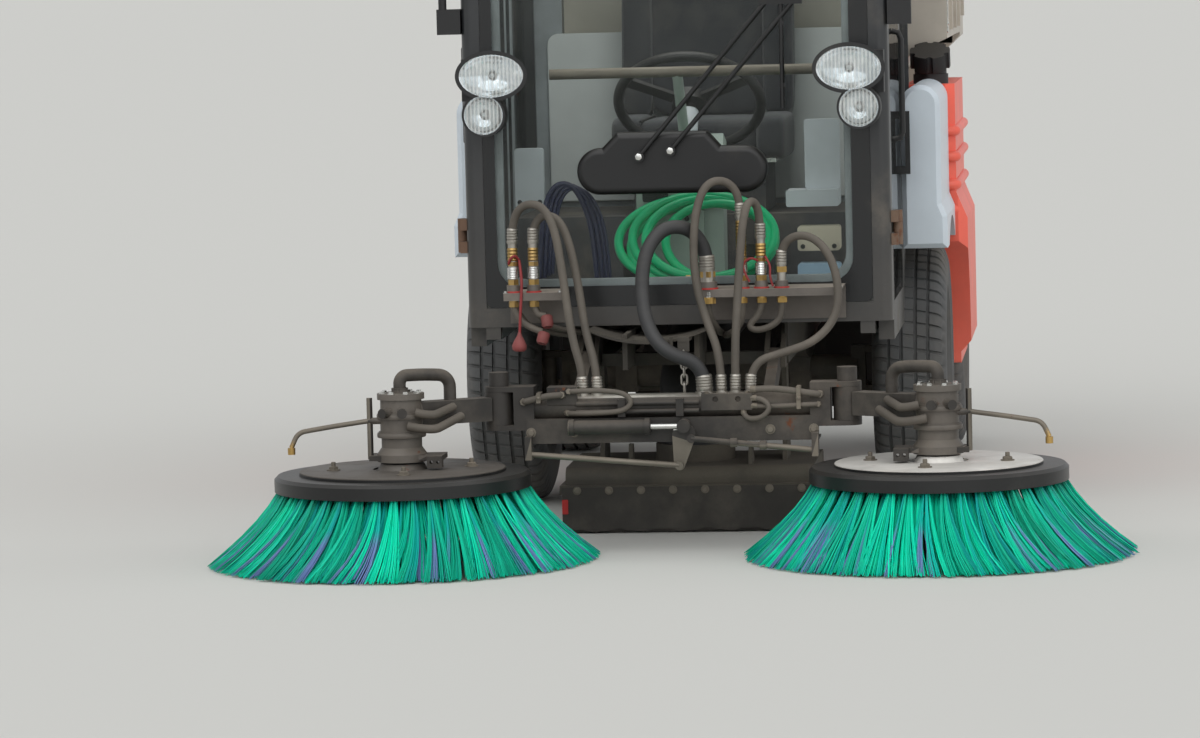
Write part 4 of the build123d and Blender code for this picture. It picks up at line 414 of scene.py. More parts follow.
def window_glass():
    """A pane that lets light through, with a film of dust that shows in places."""
    p = Paint("glass")
    film = p.span(p.noise(FILM_SCALE, 8, 0.6), 0.35, 0.8, FILM_LEAST, FILM_MOST)
    gloss = p.node("LayerWeight", {"Blend": 0.35}).outputs["Fresnel"]
    edge = p.math("MAXIMUM", film, p.math("MULTIPLY", gloss, PANE_GLOSS))
    base = p.mix(p.span(gloss, 0.03, 0.12), rgb(140, 142, 138), rgb(14, 16, 15))
    pane = p.principled(Base_Color=base, Roughness=0.03, Specular_IOR_Level=0.9)
    lit = p.math("SUBTRACT", 1.0, p.node("LightPath").outputs["Is Shadow Ray"])
    p.see_through(p.math("MULTIPLY", edge, lit), rgb(252, 254, 253), pane)
    return p.material


def mirror_of(name, tint, rough):
    """Bare reflecting metal."""
    p = Paint(name)
    uneven = p.span(p.noise(14, 6), 0.4, 0.8, rough, rough + 0.12)
    p.principled(Base_Color=tint, Metallic=1.0, Roughness=uneven)
    return p.material


def fluted_lens():
    """Lamp glass with upright flutes."""
    p = Paint("lens")
    flutes = p.wave(34.0, "X")
    dirt = p.span(p.noise(20, 8, 0.7), 0.45, 0.8, 0.1, 0.42)
    pane = p.principled(Base_Color=rgb(234, 234, 230), Roughness=0.12, Normal=p.bump(flutes, 0.001))
    share = p.math("ADD", dirt, p.math("MULTIPLY", flutes, 0.24))
    p.see_through(share, rgb(244, 247, 248), pane)
    return p.material


# Each finish: its colour on a screen, its roughness, and where it departs from finish_of
FINISHES = {
    "cab_paint": ((38, 40, 42), 0.36, dict(vary=0.1, dust=0.2, low=0.3, top=0.3, coat=0.2)),
    "cab_inner": ((136, 142, 144), 0.55, dict(dust=0.12, top=0.15)),
    "lining": ((196, 200, 198), 0.7, dict(vary=0.05, dust=0.1, top=0.1, grain=600)),
    "frame_paint": ((52, 49, 45), 0.6, dict(dust=0.5, low=0.3, top=0.5, rust=0.1)),
    "under_paint": (
        (48, 45, 41), 0.65, dict(dust=0.55, dust_colour=(92, 86, 76), low=0.35, top=0.4, rust=0.15)
    ),
    "carrier_paint": (
        (36, 33, 30), 0.6,
        dict(vary=0.4, dust=0.42, dust_colour=(108, 100, 90), low=0.05, top=0.55, rust=0.16),
    ),
    "roof_paint": ((206, 208, 210), 0.3, dict(vary=0.04, dust=0.12, top=0.12, coat=0.4)),
    "black_plastic": ((25, 25, 26), 0.5, dict(dust=0.1, top=0.12, grain=700)),
    "cover_black": ((9, 9, 10), 0.42, dict(dust=0.06, top=0.05, grain=700)),
    "frit": ((20, 21, 22), 0.22, dict(vary=0.05, dust=0.05, top=0.0)),
    "floor_rubber": ((66, 66, 68), 0.8, dict(dust=0.35, top=0.25)),
    "fender_plastic": (
        (204, 213, 221), 0.34,
        dict(vary=0.04, dust=0.1, low=0.15, top=0.04, grain=500, grain_depth=0.0001),
    ),
    "tank_plastic": (
        (240, 98, 78), 0.38,
        dict(
            vary=0.07, dust=0.12, dust_colour=(204, 138, 118), low=0.25, top=0.1, grain=420,
            grain_depth=0.00015,
        ),
    ),
    "hopper_paint": ((180, 172, 160), 0.42, dict(vary=0.06, dust=0.18, low=0.12, top=0.1, rust=0.03)),
    "steel": ((176, 172, 164), 0.32, dict(metal=0.9, dust=0.3, top=0.25, rust=0.08)),
    "bright_steel": ((208, 208, 204), 0.22, dict(metal=1.0, dust=0.1, top=0.1)),
    "dull_steel": ((112, 106, 96), 0.5, dict(metal=0.6, dust=0.45, top=0.35, rust=0.2)),
    "brass": ((182, 150, 92), 0.34, dict(metal=1.0, dust=0.2, top=0.15)),
    "rusty": ((104, 78, 60), 0.7, dict(dust=0.3, rust=0.6)),
    "rim_paint": ((158, 160, 162), 0.4, dict(metal=0.3, dust=0.4, low=0.25, rust=0.08)),
    "disc_left": (
        (216, 213, 207), 0.42, dict(metal=0.2, dust=0.25, dust_colour=(172, 165, 154), top=0.2, rust=0.14)
    ),
    "disc_right": (
        (90, 85, 79), 0.5, dict(metal=0.2, dust=0.4, dust_colour=(92, 85, 78), top=0.25, rust=0.14)
    ),
    "ring_black": ((16, 16, 16), 0.36, dict(dust=0.14, top=0.25, dust_colour=(96, 92, 86))),
    "motor_grey": ((92, 86, 79), 0.5, dict(dust=0.4, dust_colour=(118, 110, 98), top=0.35, rust=0.12)),
    "hose_rubber": ((84, 78, 70), 0.7, dict(dust=0.35, dust_colour=(118, 110, 100), top=0.15)),
    "conduit": (
        (46, 46, 47), 0.55, dict(dust=0.25, dust_colour=(86, 82, 76), top=0.25, stretch=(1, 1, 6))
    ),
    "hose_green": ((2, 188, 122), 0.36, dict(vary=0.12, dust=0.02, top=0.0)),
    "cable": ((30, 36, 66), 0.5, dict(dust=0.1, top=0.1)),
    "rubber": (
        (42, 40, 38), 0.8, dict(vary=0.3, dust=0.3, dust_colour=(98, 92, 84), low=0.2, top=0.4)
    ),
    "engine": ((58, 58, 60), 0.6, dict(dust=0.5, rust=0.15)),
    "red_plastic": ((176, 42, 40), 0.5, dict(dust=0.25, dust_colour=(140, 96, 88))),
    "strap_red": ((138, 42, 44), 0.6, dict(dust=0.2, dust_colour=(112, 66, 60), top=0.1)),
    "dust_cap": ((128, 62, 60), 0.65, dict(dust=0.25, dust_colour=(108, 78, 72), top=0.1)),
    "tyre": ((78, 80, 82), 0.8, dict(dust=0.4, dust_colour=(104, 98, 90), low=0.25, grain=500)),
    "plate_steel": (
        (104, 98, 92), 0.5, dict(metal=0.4, dust=0.25, dust_colour=(150, 140, 128), top=1.0, rust=0.1)
    ),
    "console": ((166, 178, 170), 0.6, dict(vary=0.06, dust=0.1, top=0.1)),
    "panel_grey": ((188, 194, 198), 0.6, dict(vary=0.06, dust=0.1)),
    "panel_beige": ((206, 196, 176), 0.6, dict(vary=0.06, dust=0.1)),
    "panel_blue": ((166, 196, 220), 0.5, dict(vary=0.06, dust=0.1)),
    "plate_white": ((222, 222, 218), 0.4, dict(vary=0.03, dust=0.12)),
    "lamp_red": ((170, 20, 16), 0.2, dict(vary=0.05, dust=0.15, coat=0.5)),
    "lamp_white": ((206, 208, 206), 0.2, dict(vary=0.05, dust=0.15, coat=0.5)),
    "beacon_amber": ((236, 140, 22), 0.15, dict(vary=0.05, dust=0.1, coat=0.5)),
}
looks = {name: finish_of(name, colour, rough, **rest) for name, (colour, rough, rest) in FINISHES.items()}
looks["chrome"] = mirror_of("chrome", rgb(238, 240, 242), 0.06)
looks["looking_glass"] = mirror_of("looking_glass", rgb(226, 230, 232), 0.02)


def bristle_material():
    """Plastic fibres: green, with blue and violet streaks towards the tips, and painted shade towards the
    roots.
    """
    p = Paint("bristle")
    tint = p.node("Attribute", attribute_name="tint").outputs["Fac"]
    along = p.node("Attribute", attribute_name="along").outputs["Fac"]
    stain = p.node("Attribute", attribute_name="stain").outputs["Fac"]
    green = p.mix(tint, rgb(0, 172, 140), rgb(0, 244, 198))
    teal = p.mix(p.span(stain, 0.4, 0.72, 0.0, 0.6), green, rgb(6, 164, 174))
    violet = p.math("MULTIPLY", p.span(stain, 0.74, 0.8), p.span(along, 0.34, 0.62))
    tone = p.mix(p.math("MULTIPLY", violet, 0.72), teal, rgb(136, 122, 206))
    # Painted shade: the fibres darken towards their roots, where they crowd under the disc's ring
    tone = p.mix(p.span(along, 0.0, 0.2, 0.55, 0.0), tone, rgb(8, 62, 54))
    p.principled(Base_Color=tone, Roughness=p.span(tint, 0.0, 1.0, 0.5, 0.36), Specular_IOR_Level=0.25)
    return p.material


def seat_material():
    """Woven seat cloth."""
    p = Paint("seat_cloth")
    weave = p.math("MULTIPLY", *(p.wave(160.0, way, 0.6) for way in ("X", "Z")))
    tone = p.mix(weave, rgb(34, 35, 38), rgb(66, 68, 74))
    tone = p.mix(p.span(p.noise(9, 6), 0.45, 0.75, 0.0, 0.3), tone, rgb(96, 92, 86))
    p.principled(Base_Color=tone, Roughness=0.9, Normal=p.bump(weave, 0.0006), Sheen_Weight=0.25)
    return p.material


def floor_material():
    p = Paint("floor")
    p.principled(Base_Color=rgb(206, 205, 200), Roughness=0.9)
    return p.material


looks["glass"] = window_glass()
looks["lens"] = fluted_lens()
looks["bristle"] = bristle_material()
looks["seat_cloth"] = seat_material()
looks["floor"] = floor_material()


# Names by side and axle, and places in mm
SIDES = (("left", 1), ("right", -1))
AXLES = (("front", 60.0), ("rear", 1380.0))
CORNERS = [f"{end}_{side_name}" for end, y in AXLES for side_name, side in SIDES]
BRUSH_X, BRUSH_Y = 640, -1304
DOOR_FACE, HINGE_HEIGHTS = 523, (755, 1640)

# Looks of the CAD nodes
node_looks = {
    "frame_paint": ["front_axle", "rear_axle", "rear_bumper", "tip_barrels", "knuckle_left", "knuckle_right"],
    "under_paint": ["chassis_frame", "suction_mouth"],
    "dull_steel": ["tie_rod"],
    "roof_paint": ["cab_roof"],
    "glass": ["cab_glass", "door_glass_left", "door_glass_right"],
    "floor_rubber": ["cab_floor"],
    "black_plastic": ["steering_wheel", "headlamps", "mirrors", "mudguards", "suction_duct", "filler_caps"],
    "cover_black": ["wiper"],
    "lens": ["lamp_lenses"],
    "fender_plastic": ["front_fenders"],
    "tank_plastic": ["water_tanks"],
    "hopper_paint": ["hopper", "tailgate"],
    "engine": ["engine_block"],
    "rubber": ["suction_skirt"],
    "bright_steel": ["tip_rods"],
    "steel": ["chain"],
    "rim_paint": ["rim_" + corner for corner in CORNERS],
    "tyre": ["tyre_" + corner for corner in CORNERS],
    "seat_cloth": ["seat"],
    "bristle": ["bristles_left", "bristles_right"],
    "hose_green": ["hose_coil"],
    "hose_rubber": ["hose_left_outer", "hose_left_inner", "hose_mid_loop", "hose_mid", "hose_right"],
    "conduit": ["hose_conduit"],
}


def dress(node, base, *rules):
    """Materials of a CAD node's faces: the first rule that holds for a face's middle in mm, else base."""
    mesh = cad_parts[node].data
    mesh.materials.clear()
    for look in (base, *(rule[0] for rule in rules)):
        mesh.materials.append(looks[look])
    picks = []
    for face in mesh.polygons:
        middle = face.center / MM
        picks.append(next((k + 1 for k, rule in enumerate(rules) if rule[1](middle)), 0))
    mesh.polygons.foreach_set("material_index", picks)


for look, names in node_looks.items():
    for name in names:
        dress(name, look)


def at_hinges(m):
    return abs(m.x) > DOOR_FACE and m.y < -840 and min(abs(m.z - z) for z in HINGE_HEIGHTS) < 44


def from_brush(m):
    """Distance in mm from the axis of the nearer brush."""
    return hypot(abs(m.x) - BRUSH_X, m.y - BRUSH_Y)


dress(
    "cab_frame",
    "cab_paint",
    ("rusty", at_hinges),
    ("cab_inner", lambda m: abs(m.x) < 476 and -879 < m.y < 231),
)
dress(
    "coupling_plates",
    "plate_steel",
    ("steel", lambda m: m.z > 641 and m.y < -1020),
    ("brass", lambda m: m.z < 604 and m.y < -1020),
)
dress(
    "dash",
    "console",
    ("dull_steel", lambda m: m.z > 1120),
    ("panel_grey", lambda m: m.z > 700 and abs(m.x) < 40 and m.y > -640),
    ("rubber", lambda m: abs(m.x) > 100 and m.z < 720),
)
dress("beacon", "beacon_amber", ("black_plastic", lambda m: m.z < 1978))
dress("rear_lamps", "lamp_red", ("lamp_white", lambda m: abs(m.x) < 441))
dress(
    "lift_frame",
    "carrier_paint",
    ("steel", lambda m: m.z > 374 and abs(m.y + 1170) < 22 and abs(m.x) < 230),
    ("dull_steel", lambda m: m.y < -1222 and m.z < 262),
    ("bright_steel", lambda m: m.y < -1220 and -46 < m.x < 12 and m.z > 298),
)
for side_name, side in SIDES:
    dress(
        f"door_{side_name}",
        "cab_paint",
        ("rusty", at_hinges),
        ("black_plastic", lambda m: abs(m.x) > DOOR_FACE),
        ("cab_inner", lambda m: abs(m.x) < 485),
    )
    dress(
        f"brush_arm_{side_name}",
        "carrier_paint",
        ("motor_grey", lambda m: from_brush(m) < 66 and m.z < 412),
        ("brass", lambda m: abs(m.x) > 890 and m.z < 290),
        ("dull_steel", lambda m: abs(m.x) > 712),
    )
    dress(
        f"brush_disc_{side_name}",
        f"disc_{side_name}",
        ("ring_black", lambda m: from_brush(m) > 246 or m.z < 205),
    )


# Hoses from the couplers down to the carrier, on smooth curves through their routes


def nurbs(name, points, steps):
    """Curve data with one smooth open spline."""
    data = bpy.data.curves.new(name, "CURVE")
    data.dimensions = "3D"
    data.resolution_u = steps
    spline = data.splines.new("NURBS")
    spline.points.add(len(points) - 1)
    for target, p in zip(spline.points, points):
        target.co = (*p, 1)
    spline.order_u = 3
    spline.use_endpoint_u = True
    return data


def smooth_line(route, steps=14):
    """Points in metres along the smooth curve of a route in mm."""
    holder = bpy.data.objects.new("route", nurbs("route", [[c * MM for c in p] for p in route], steps))
    bpy.context.scene.collection.objects.link(holder)
    mesh = bpy.data.meshes.new_from_object(holder)
    line = [v.co.copy() for v in mesh.vertices]
    bpy.data.objects.remove(holder)
    bpy.data.meshes.remove(mesh)
    return line


def length_of(line):
    return sum((b - a).length for a, b in zip(line, line[1:]))


# Each hose: diameter in mm, its material, and its route in mm
HOSES = {
    "hose_left_outer": (20, "hose_rubber", [
        (-393, -1050, 742), (-393, -1050, 792), (-366, -1066, 838), (-314, -1090, 838), (-283, -1112, 786),
        (-267, -1124, 700), (-254, -1138, 600), (-238, -1156, 505), (-216, -1170, 438), (-216, -1170, 388),
    ]),
    "hose_left_inner": (20, "hose_rubber", [
        (-343, -1050, 742), (-343, -1050, 780), (-318, -1048, 812), (-276, -1058, 802), (-248, -1076, 736),
        (-228, -1096, 636), (-212, -1122, 530), (-182, -1170, 444), (-182, -1170, 388),
    ]),
    "hose_conduit": (34, "conduit", [
        (80, -1050, 668), (80, -1050, 722), (40, -1076, 776), (-20, -1104, 778), (-62, -1128, 722),
        (-72, -1146, 636), (-60, -1170, 548), (-16, -1194, 482), (78, -1170, 450), (78, -1170, 388),
    ]),
    "hose_mid_loop": (20, "hose_rubber", [
        (164, -1050, 793), (164, -1050, 842), (138, -1062, 884), (92, -1080, 886), (64, -1092, 838),
        (52, -1104, 746), (56, -1112, 646), (78, -1118, 560), (118, -1170, 470), (118, -1170, 388),
    ]),
    "hose_mid": (20, "hose_rubber", [
        (211, -1050, 743), (211, -1050, 790), (203, -1066, 832), (186, -1096, 836), (174, -1116, 790),
        (166, -1126, 700), (158, -1140, 590), (152, -1170, 480), (152, -1170, 388),
    ]),
    "hose_right": (20, "hose_rubber", [
        (260, -1050, 677), (260, -1050, 716), (286, -1058, 748), (334, -1074, 750), (378, -1090, 710),
        (402, -1104, 632), (394, -1120, 552), (344, -1140, 498), (274, -1160, 476), (188, -1170, 452),
        (188, -1170, 388),
    ]),
}
CUFF_WALL, CUFF_RIBS, CUFF_PITCH = 3.5, 4, 7


def cuff_profile(r):
    """Section of the ribbed sleeve at a hose's end, in mm: distance from the end, radius."""
    wide = r + CUFF_WALL
    profile = [(-1, r * 0.7), (0, wide - 1), (4, wide)]
    for k in range(CUFF_RIBS):
        rib = 8 + CUFF_PITCH * k
        profile += [(rib, wide), (rib + 2, wide - 1.8), (rib + 4, wide)]
    return profile + [(36, wide - 1), (38, r + 0.4)]


for name, (diameter, look, route) in HOSES.items():
    line = smooth_line(route)
    r = diameter / 2
    hose = Shape()
    hose.tube(line, r * MM, 16)
    tube = hose.piece(name + "_tube", None, [look], "hose_rubber", smooth=60)
    start, end = line[0], line[-1]
    for part, at, towards, body in (("top", start, line[2], "root"), ("foot", end, line[-3], "lift_frame")):
        cuff = Shape()
        cuff.lathe(in_mm(cuff_profile(r)), at, at + (towards - at).normalized(), 20)
        cuff.piece(f"{name}_{part}", body, ["steel"], "steel")
    tuple(start)
    length_of(line)
    [tuple(p) for p in line]
    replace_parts(tube, name)
    tuple(start)
    tuple(end)
    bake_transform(tube)


# Coil of green hose that leans inside the windscreen

COIL_TILT = radians(62)
COIL_HEIGHT, COIL_DEPTH, CAB_FLOOR = 270, 60, 600.3
COIL_LIFT = COIL_HEIGHT / 2 * sin(COIL_TILT) + COIL_DEPTH / 2 * cos(COIL_TILT)
COIL_TUBE = 23 * MM
TURN_POINTS = 16
coil_middle = mm(30, -800, CAB_FLOOR + COIL_LIFT)
coil_up = Vector((0, cos(COIL_TILT), sin(COIL_TILT)))
coil_out = Vector((0, -sin(COIL_TILT), cos(COIL_TILT)))
# Each turn: half width, half height, shift across, shift up, and depth through the coil, in mm
COIL_TURNS = (
    (203, 122, 0, 0, 15),
    (172, 116, 30, -4, -9),
    (152, 110, 36, -8, 17),
    (122, 100, 62, -14, -11),
    (198, 120, 4, 0, -17),
)
coil_line = []
for k, (a, b, dx, dz, depth) in enumerate(COIL_TURNS):
    following = COIL_TURNS[min(k + 1, len(COIL_TURNS) - 1)]
    for i in range(TURN_POINTS):
        part = i / TURN_POINTS
        a1, b1, x1, z1, d1 = ((1 - part) * p + part * q for p, q in zip((a, b, dx, dz, depth), following))
        angle = tau * part - pi / 2
        coil_line.append(
            coil_middle
            + Vector((1, 0, 0)) * (a1 * cos(angle) + x1) * MM
            + coil_up * (b1 * sin(angle) + z1) * MM
            + coil_out * d1 * MM
        )
coil_data = nurbs("green_coil", coil_line, 6)
coil_data.bevel_depth = COIL_TUBE / 2
coil_data.bevel_resolution = 4
coil_data.use_fill_caps = True
coil_data.materials.append(looks["hose_green"])
green_coil = bpy.data.objects.new("green_coil", coil_data)
bpy.context.scene.collection.objects.link(green_coil)
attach(green_coil, "root")
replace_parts(green_coil, "hose_coil")
for part, at, towards in (("start", coil_line[0], coil_line[1]), ("end", coil_line[-1], coil_line[-2])):
    nipple = Shape()
    profile = [(-18, 12), (-16, 14), (4, 14), (5, 16), (16, 16), (18, 11)]
    nipple.lathe(in_mm(profile), at, at + (at - towards).normalized(), 18)
    nipple.piece(f"coil_{part}", "root", ["brass"], "steel")
length_of(coil_line)


# Brushes: fibres in tufts that splay from the ring to the ground

# Radius and height of the inner and outer edge of the skirt at its root, waist and tip, in mm
SKIRT = ((257, 300, 179), (325, 368, 92), (424, 472, 3))
SKIRT_LIMIT, FIBRE_LOWEST = 473.0, 4.0
FIBRE_R = 1.5 * MM
FIBRES_IN_STRAND = 7
STRANDS_IN_TUFT = 9
TUFT_ROWS = 2
TUFTS = 44
FIBRE_STEPS = 5
FIBRE_CORNERS = 3
FIBRE_TIP = tuple(FIBRE_STEPS * FIBRE_CORNERS + corner for corner in range(FIBRE_CORNERS))
FIBRE_FACES = [*grid(FIBRE_STEPS + 1, FIBRE_CORNERS), FIBRE_TIP]
# Angles in radians: how far a tuft's strands fan out, and how far the tips trail
STRAND_FAN, TIP_TRAIL = 0.14, 0.06


def skirt_point(spread, along):
    """Radius and height at a share across the skirt and along a fibre."""
    rows = [((1 - spread) * a + spread * b, z) for a, b, z in SKIRT]
    u = 1 - along
    weights = (u * u, 2 * u * along, along * along)
    middle = [2 * rows[1][k] - (rows[0][k] + rows[2][k]) / 2 for k in (0, 1)]
    knots = (rows[0], middle, rows[2])
    return tuple(sum(w * knot[k] for w, knot in zip(weights, knots)) for k in (0, 1))


def fibre_points(centre, droop, spread, angle, fan, trail, shares):
    """Corners of one fibre from its root to its tip."""
    points = []
    for share in shares:
        radius, z = skirt_point(spread, share)
        radius = min(radius + droop * share, SKIRT_LIMIT)
        at = angle + fan * (0.35 + 0.9 * share) + trail * share * share
        out, turn = Vector((cos(at), sin(at), 0)), Vector((-sin(at), cos(at), 0))
        middle = centre + (out * radius + UP * max(z, FIBRE_LOWEST)) * MM
        slant = (out + UP) * 0.7
        r = FIBRE_R * (1 - 0.25 * share)
        for corner in range(FIBRE_CORNERS):
            a = tau * corner / FIBRE_CORNERS + 0.5
            points.append(middle + (turn * cos(a) + slant * sin(a)) * r)
    return points


def bristle_skirt(side_name, side, seed):
    """All fibres of one brush: strands in tufts, tufts in rows, each with its own tint and stain."""
    rng = random.Random(seed)
    centre = mm(BRUSH_X * side, BRUSH_Y, 0)
    shape = Shape()
    notes = {"tint": [], "along": [], "stain": []}
    for row in range(TUFT_ROWS):
        for tuft in range(TUFTS):
            angle = tau * (tuft + 0.5 * row) / TUFTS
            lean = rng.gauss(0.0, 0.022)
            tuft_tint = rng.uniform(0.1, 0.9)
            for fibre in range(FIBRES_IN_STRAND * STRANDS_IN_TUFT):
                if fibre % FIBRES_IN_STRAND == 0:
                    strand = fibre // FIBRES_IN_STRAND / (STRANDS_IN_TUFT - 1) - 0.5
                    strand_spread = 0.25 + 0.5 * row + rng.gauss(0, 0.13)
                    strand_fan = STRAND_FAN * strand + rng.gauss(0, 0.012)
                    strand_tint = tuft_tint + rng.gauss(0, 0.2)
                    stain = rng.random() ** 1.5
                spread = min(1, max(0, strand_spread + rng.gauss(0, 0.05)))
                fan = strand_fan + rng.gauss(0.0, 0.008)
                reach = 1 - abs(rng.gauss(0, 0.03))
                tint = min(1.0, max(0.0, strand_tint + rng.gauss(0, 0.08)))
                droop = rng.gauss(0, 2.0)
                shares = [k / FIBRE_STEPS * reach for k in range(FIBRE_STEPS + 1)]
                points = fibre_points(centre, droop, spread, angle, fan, TIP_TRAIL * side + lean, shares)
                shape.add(points, FIBRE_FACES)
                notes["tint"] += [tint] * len(points)
                notes["along"] += [share for share in shares for corner in range(FIBRE_CORNERS)]
                notes["stain"] += [stain] * len(points)
    shape.notes = notes
    body = f"brush_{side_name}"
    skirt = shape.piece(f"fibres_{side_name}", body, ["bristle"], "bristle", smooth=180, closed=False)
    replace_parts(skirt, f"bristles_{side_name}")


for side_name, side, seed in (("left", 1, 11), ("right", -1, 23)):
    bristle_skirt(side_name, side, seed)


# Windscreen: black printed border in front of a pale inner frame

BORDER_FRONT, BORDER_BACK, TRIM_FRONT, TRIM_BACK = -931.2, -930.1, -919, -906
screen = Shape()
opening = rounded(-445, 428, 628, 1768, 60)
screen.band(rounded(-474, 474, 578, 1814, 18), opening, BORDER_FRONT, BORDER_BACK)
screen.piece("screen_border", "root", ["frit"], "cab_paint")
inner_trim = Shape()
around, opening = rounded(-458, 448, 612, 1790, 62), rounded(-426, 410, 646, 1748, 52)
inner_trim.band(around, opening, TRIM_FRONT, TRIM_BACK)
inner_trim.piece("screen_trim", "root", ["cab_inner"], "cab_paint", bevel=0.003)


# Cab inside: cover of the dash, small panels, a bundle of cables, roof lining and lamp

# Panels: material slot, then left, right, low, high and corner radius, then front and back, in mm
PANELS = (
    (0, (-120, 48, 652, 892, 14), -716, -697),
    (3, (-104, -40, 820, 872, 6), -721, -716),
    (3, (52, 86, 806, 852, 4), -716, -700),
    (1, (-423, -351, 810, 960, 8), -716, -690),
    (1, (251, 383, 800, 842, 6), -700, -600),
    (1, (298, 386, 842, 1016, 8), -672, -652),
    (2, (278, 384, 690, 752, 8), -700, -640),
    (4, (278, 384, 604, 660, 8), -716, -650),
)
PANEL_SCREWS = (
    (-96, 668), (24, 668), (-96, 876), (24, 876), (-412, 826), (-362, 826), (292, 702), (370, 702)
)
DASH_FACE = -716
DASH_LOOP = ((DASH_FACE, 776), (-742, 784), (-748, 830), (-742, 876), (DASH_FACE, 884))
inside = Shape()
for slot, outline, low, high in PANELS:
    inside.slab(rounded(*outline), low, high, slot)
for u, v in PANEL_SCREWS:
    inside.bolt(mm(u, DASH_FACE, v), (0, -1, 0), 0.004, 0.004, 3)
inside.tube([mm(5, y, z) for y, z in DASH_LOOP], 0.006, 10, 3)
inside.piece(
    "inner_panels", "root", ["console", "panel_grey", "panel_beige", "black_plastic", "panel_blue"],
    "black_plastic", bevel=0.002,
)
cables = Shape()
for k, (dx, r) in enumerate(((0, 7), (13, 6), (24, 5), (33, 4))):
    route = [
        (-352, -846, 640 + 5 * k), (-344, -846, 780), (-318, -850, 872 - 3 * k), (-264, -852, 880 - 5 * k),
        (-226, -850, 800), (-212, -846, 704), (-208, -840, 606),
    ]
    cables.run([(x + dx, y, z) for x, y, z in route], r, 10, steps=8)
cables.piece("cables", "root", ["cable"], "hose_rubber", smooth=60)

LINING, ROOF_INSIDE, REAR_INSIDE = 12, 1880, 228
lining = Shape()
lining.slab(rounded(-452, 452, -850, 196, 40), ROOF_INSIDE - LINING, ROOF_INSIDE, at=from_above)
lining.slab(rounded(-440, 440, 780, 1230, 30), REAR_INSIDE - LINING, REAR_INSIDE)
lining.piece("lining", "root", ["lining"], "cab_paint", bevel=0.004)
lamp_in_roof = Shape()
lamp_outline = rounded(-70, 70, -360, -290, 16)
lamp_in_roof.slab(lamp_outline, ROOF_INSIDE - 2 * LINING, ROOF_INSIDE - LINING, at=from_above)
lamp_in_roof.piece("inner_lamp", "root", ["plate_white"], "lens", bevel=0.003)


# Seat: padded cushions with bolsters, seams and a head restraint

CROWN = 0.34
CUSHION_ROWS, CUSHION_COLUMNS = 20, 32


def soft(value):
    """A sine or cosine pulled out towards 1, which makes a block of a ball."""
    return (1 if value >= 0 else -1) * abs(value) ** CROWN


def cushion(name, centre, size, lean):
    """A stuffed block with rounded edges and a crowned face."""
    turn = Matrix.Rotation(lean, 3, "X")
    half = [c / 2 for c in size]
    verts = []
    for i in range(CUSHION_ROWS + 1):
        v = -pi / 2 + pi * i / CUSHION_ROWS
        for j in range(CUSHION_COLUMNS):
            u = tau * j / CUSHION_COLUMNS
            ball = (soft(cos(v)) * soft(cos(u)), soft(cos(v)) * soft(sin(u)), soft(sin(v)))
            verts.append((Vector(centre) + turn @ Vector([a * b for a, b in zip(ball, half)])) * MM)
    shape = Shape()
    shape.add(verts, grid(CUSHION_ROWS + 1, CUSHION_COLUMNS))
    made = shape.piece(name, "root", ["seat_cloth"], "seat_fabric", smooth=70)
    weld = bmesh.new()
    weld.from_mesh(made.data)
    bmesh.ops.remove_doubles(weld, verts=weld.verts, dist=0.0004)
    bmesh.ops.recalc_face_normals(weld, faces=weld.faces)
    weld.to_mesh(made.data)
    weld.free()
    made.data.polygons.foreach_set("use_smooth", [True] * len(made.data.polygons))
    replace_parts(made, "seat")


BACK_LEAN = radians(8)
# Each cushion: name, middle and size in mm, and its lean
CUSHIONS = (
    ("seat_base", (0, -85, 954), (330, 424, 112), 0),
    ("seat_base_left", (186, -85, 958), (82, 420, 116), 0),
    ("seat_base_right", (-186, -85, 958), (82, 420, 116), 0),
    ("seat_back", (0, 124, 1196), (330, 84, 384), -BACK_LEAN),
    ("seat_back_left", (186, 116, 1190), (82, 100, 372), -BACK_LEAN),
    ("seat_back_right", (-186, 116, 1190), (82, 100, 372), -BACK_LEAN),
    ("head_rest", (0, 162, 1458), (270, 88, 146), -BACK_LEAN),
)
for values in CUSHIONS:
    cushion(*values)
seams = Shape()
for x in (-146, 146):
    seams.tube([mm(x, y, 1006) for y in (-292, -200, -80, 40, 100)], 0.0035, 8)
    seams.tube([mm(x, 92 + 0.141 * (z - 1196), z) for z in (1016, 1100, 1196, 1290, 1372)], 0.0035, 8)
for x in (-70, 70):
    seams.rod(mm(x, 148, 1360), mm(x, 158, 1420), 0.007, 12, 1)
seams.box(mm(-200, -280, 895), mm(200, 110, 906), 1)
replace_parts(seams.piece("seat_trim", "root", ["black_plastic", "bright_steel"], "seat_fabric"), "seat")


# Lamps: bowls, bulbs and domed lenses in the housings

# Each kind of lamp: distance from the middle, height, half width, half height and the rim's depth, in mm
LAMPS = ((433, 1150, 78.5, 52.0, -1058), (455, 1055, 47.6, 47.6, -1050))
# Sections of bowl and lens: depth behind the rim in mm, share of the half widths
BOWL = ((1, 1.0), (3, 0.95), (14, 0.86), (24, 0.66), (31, 0.36), (33, 0.14))
DOME = ((3, 1.0), (0.5, 0.985), (-0.6, 0.9), (-1.3, 0.7), (-1.8, 0.4), (-2.0, 0.05))
BOWL_SHELL = (*BOWL, *[(d + 2, k + 0.02) for d, k in reversed(BOWL[1:])], (3, 1.0))
DOME_SHELL = (*DOME, *[(d + 2.6, k) for d, k in reversed(DOME)])
BULB = ((6, 3), (8, 6.2), (14, 6.2), (19, 4), (21, 1))
LAMP_STEPS = 36


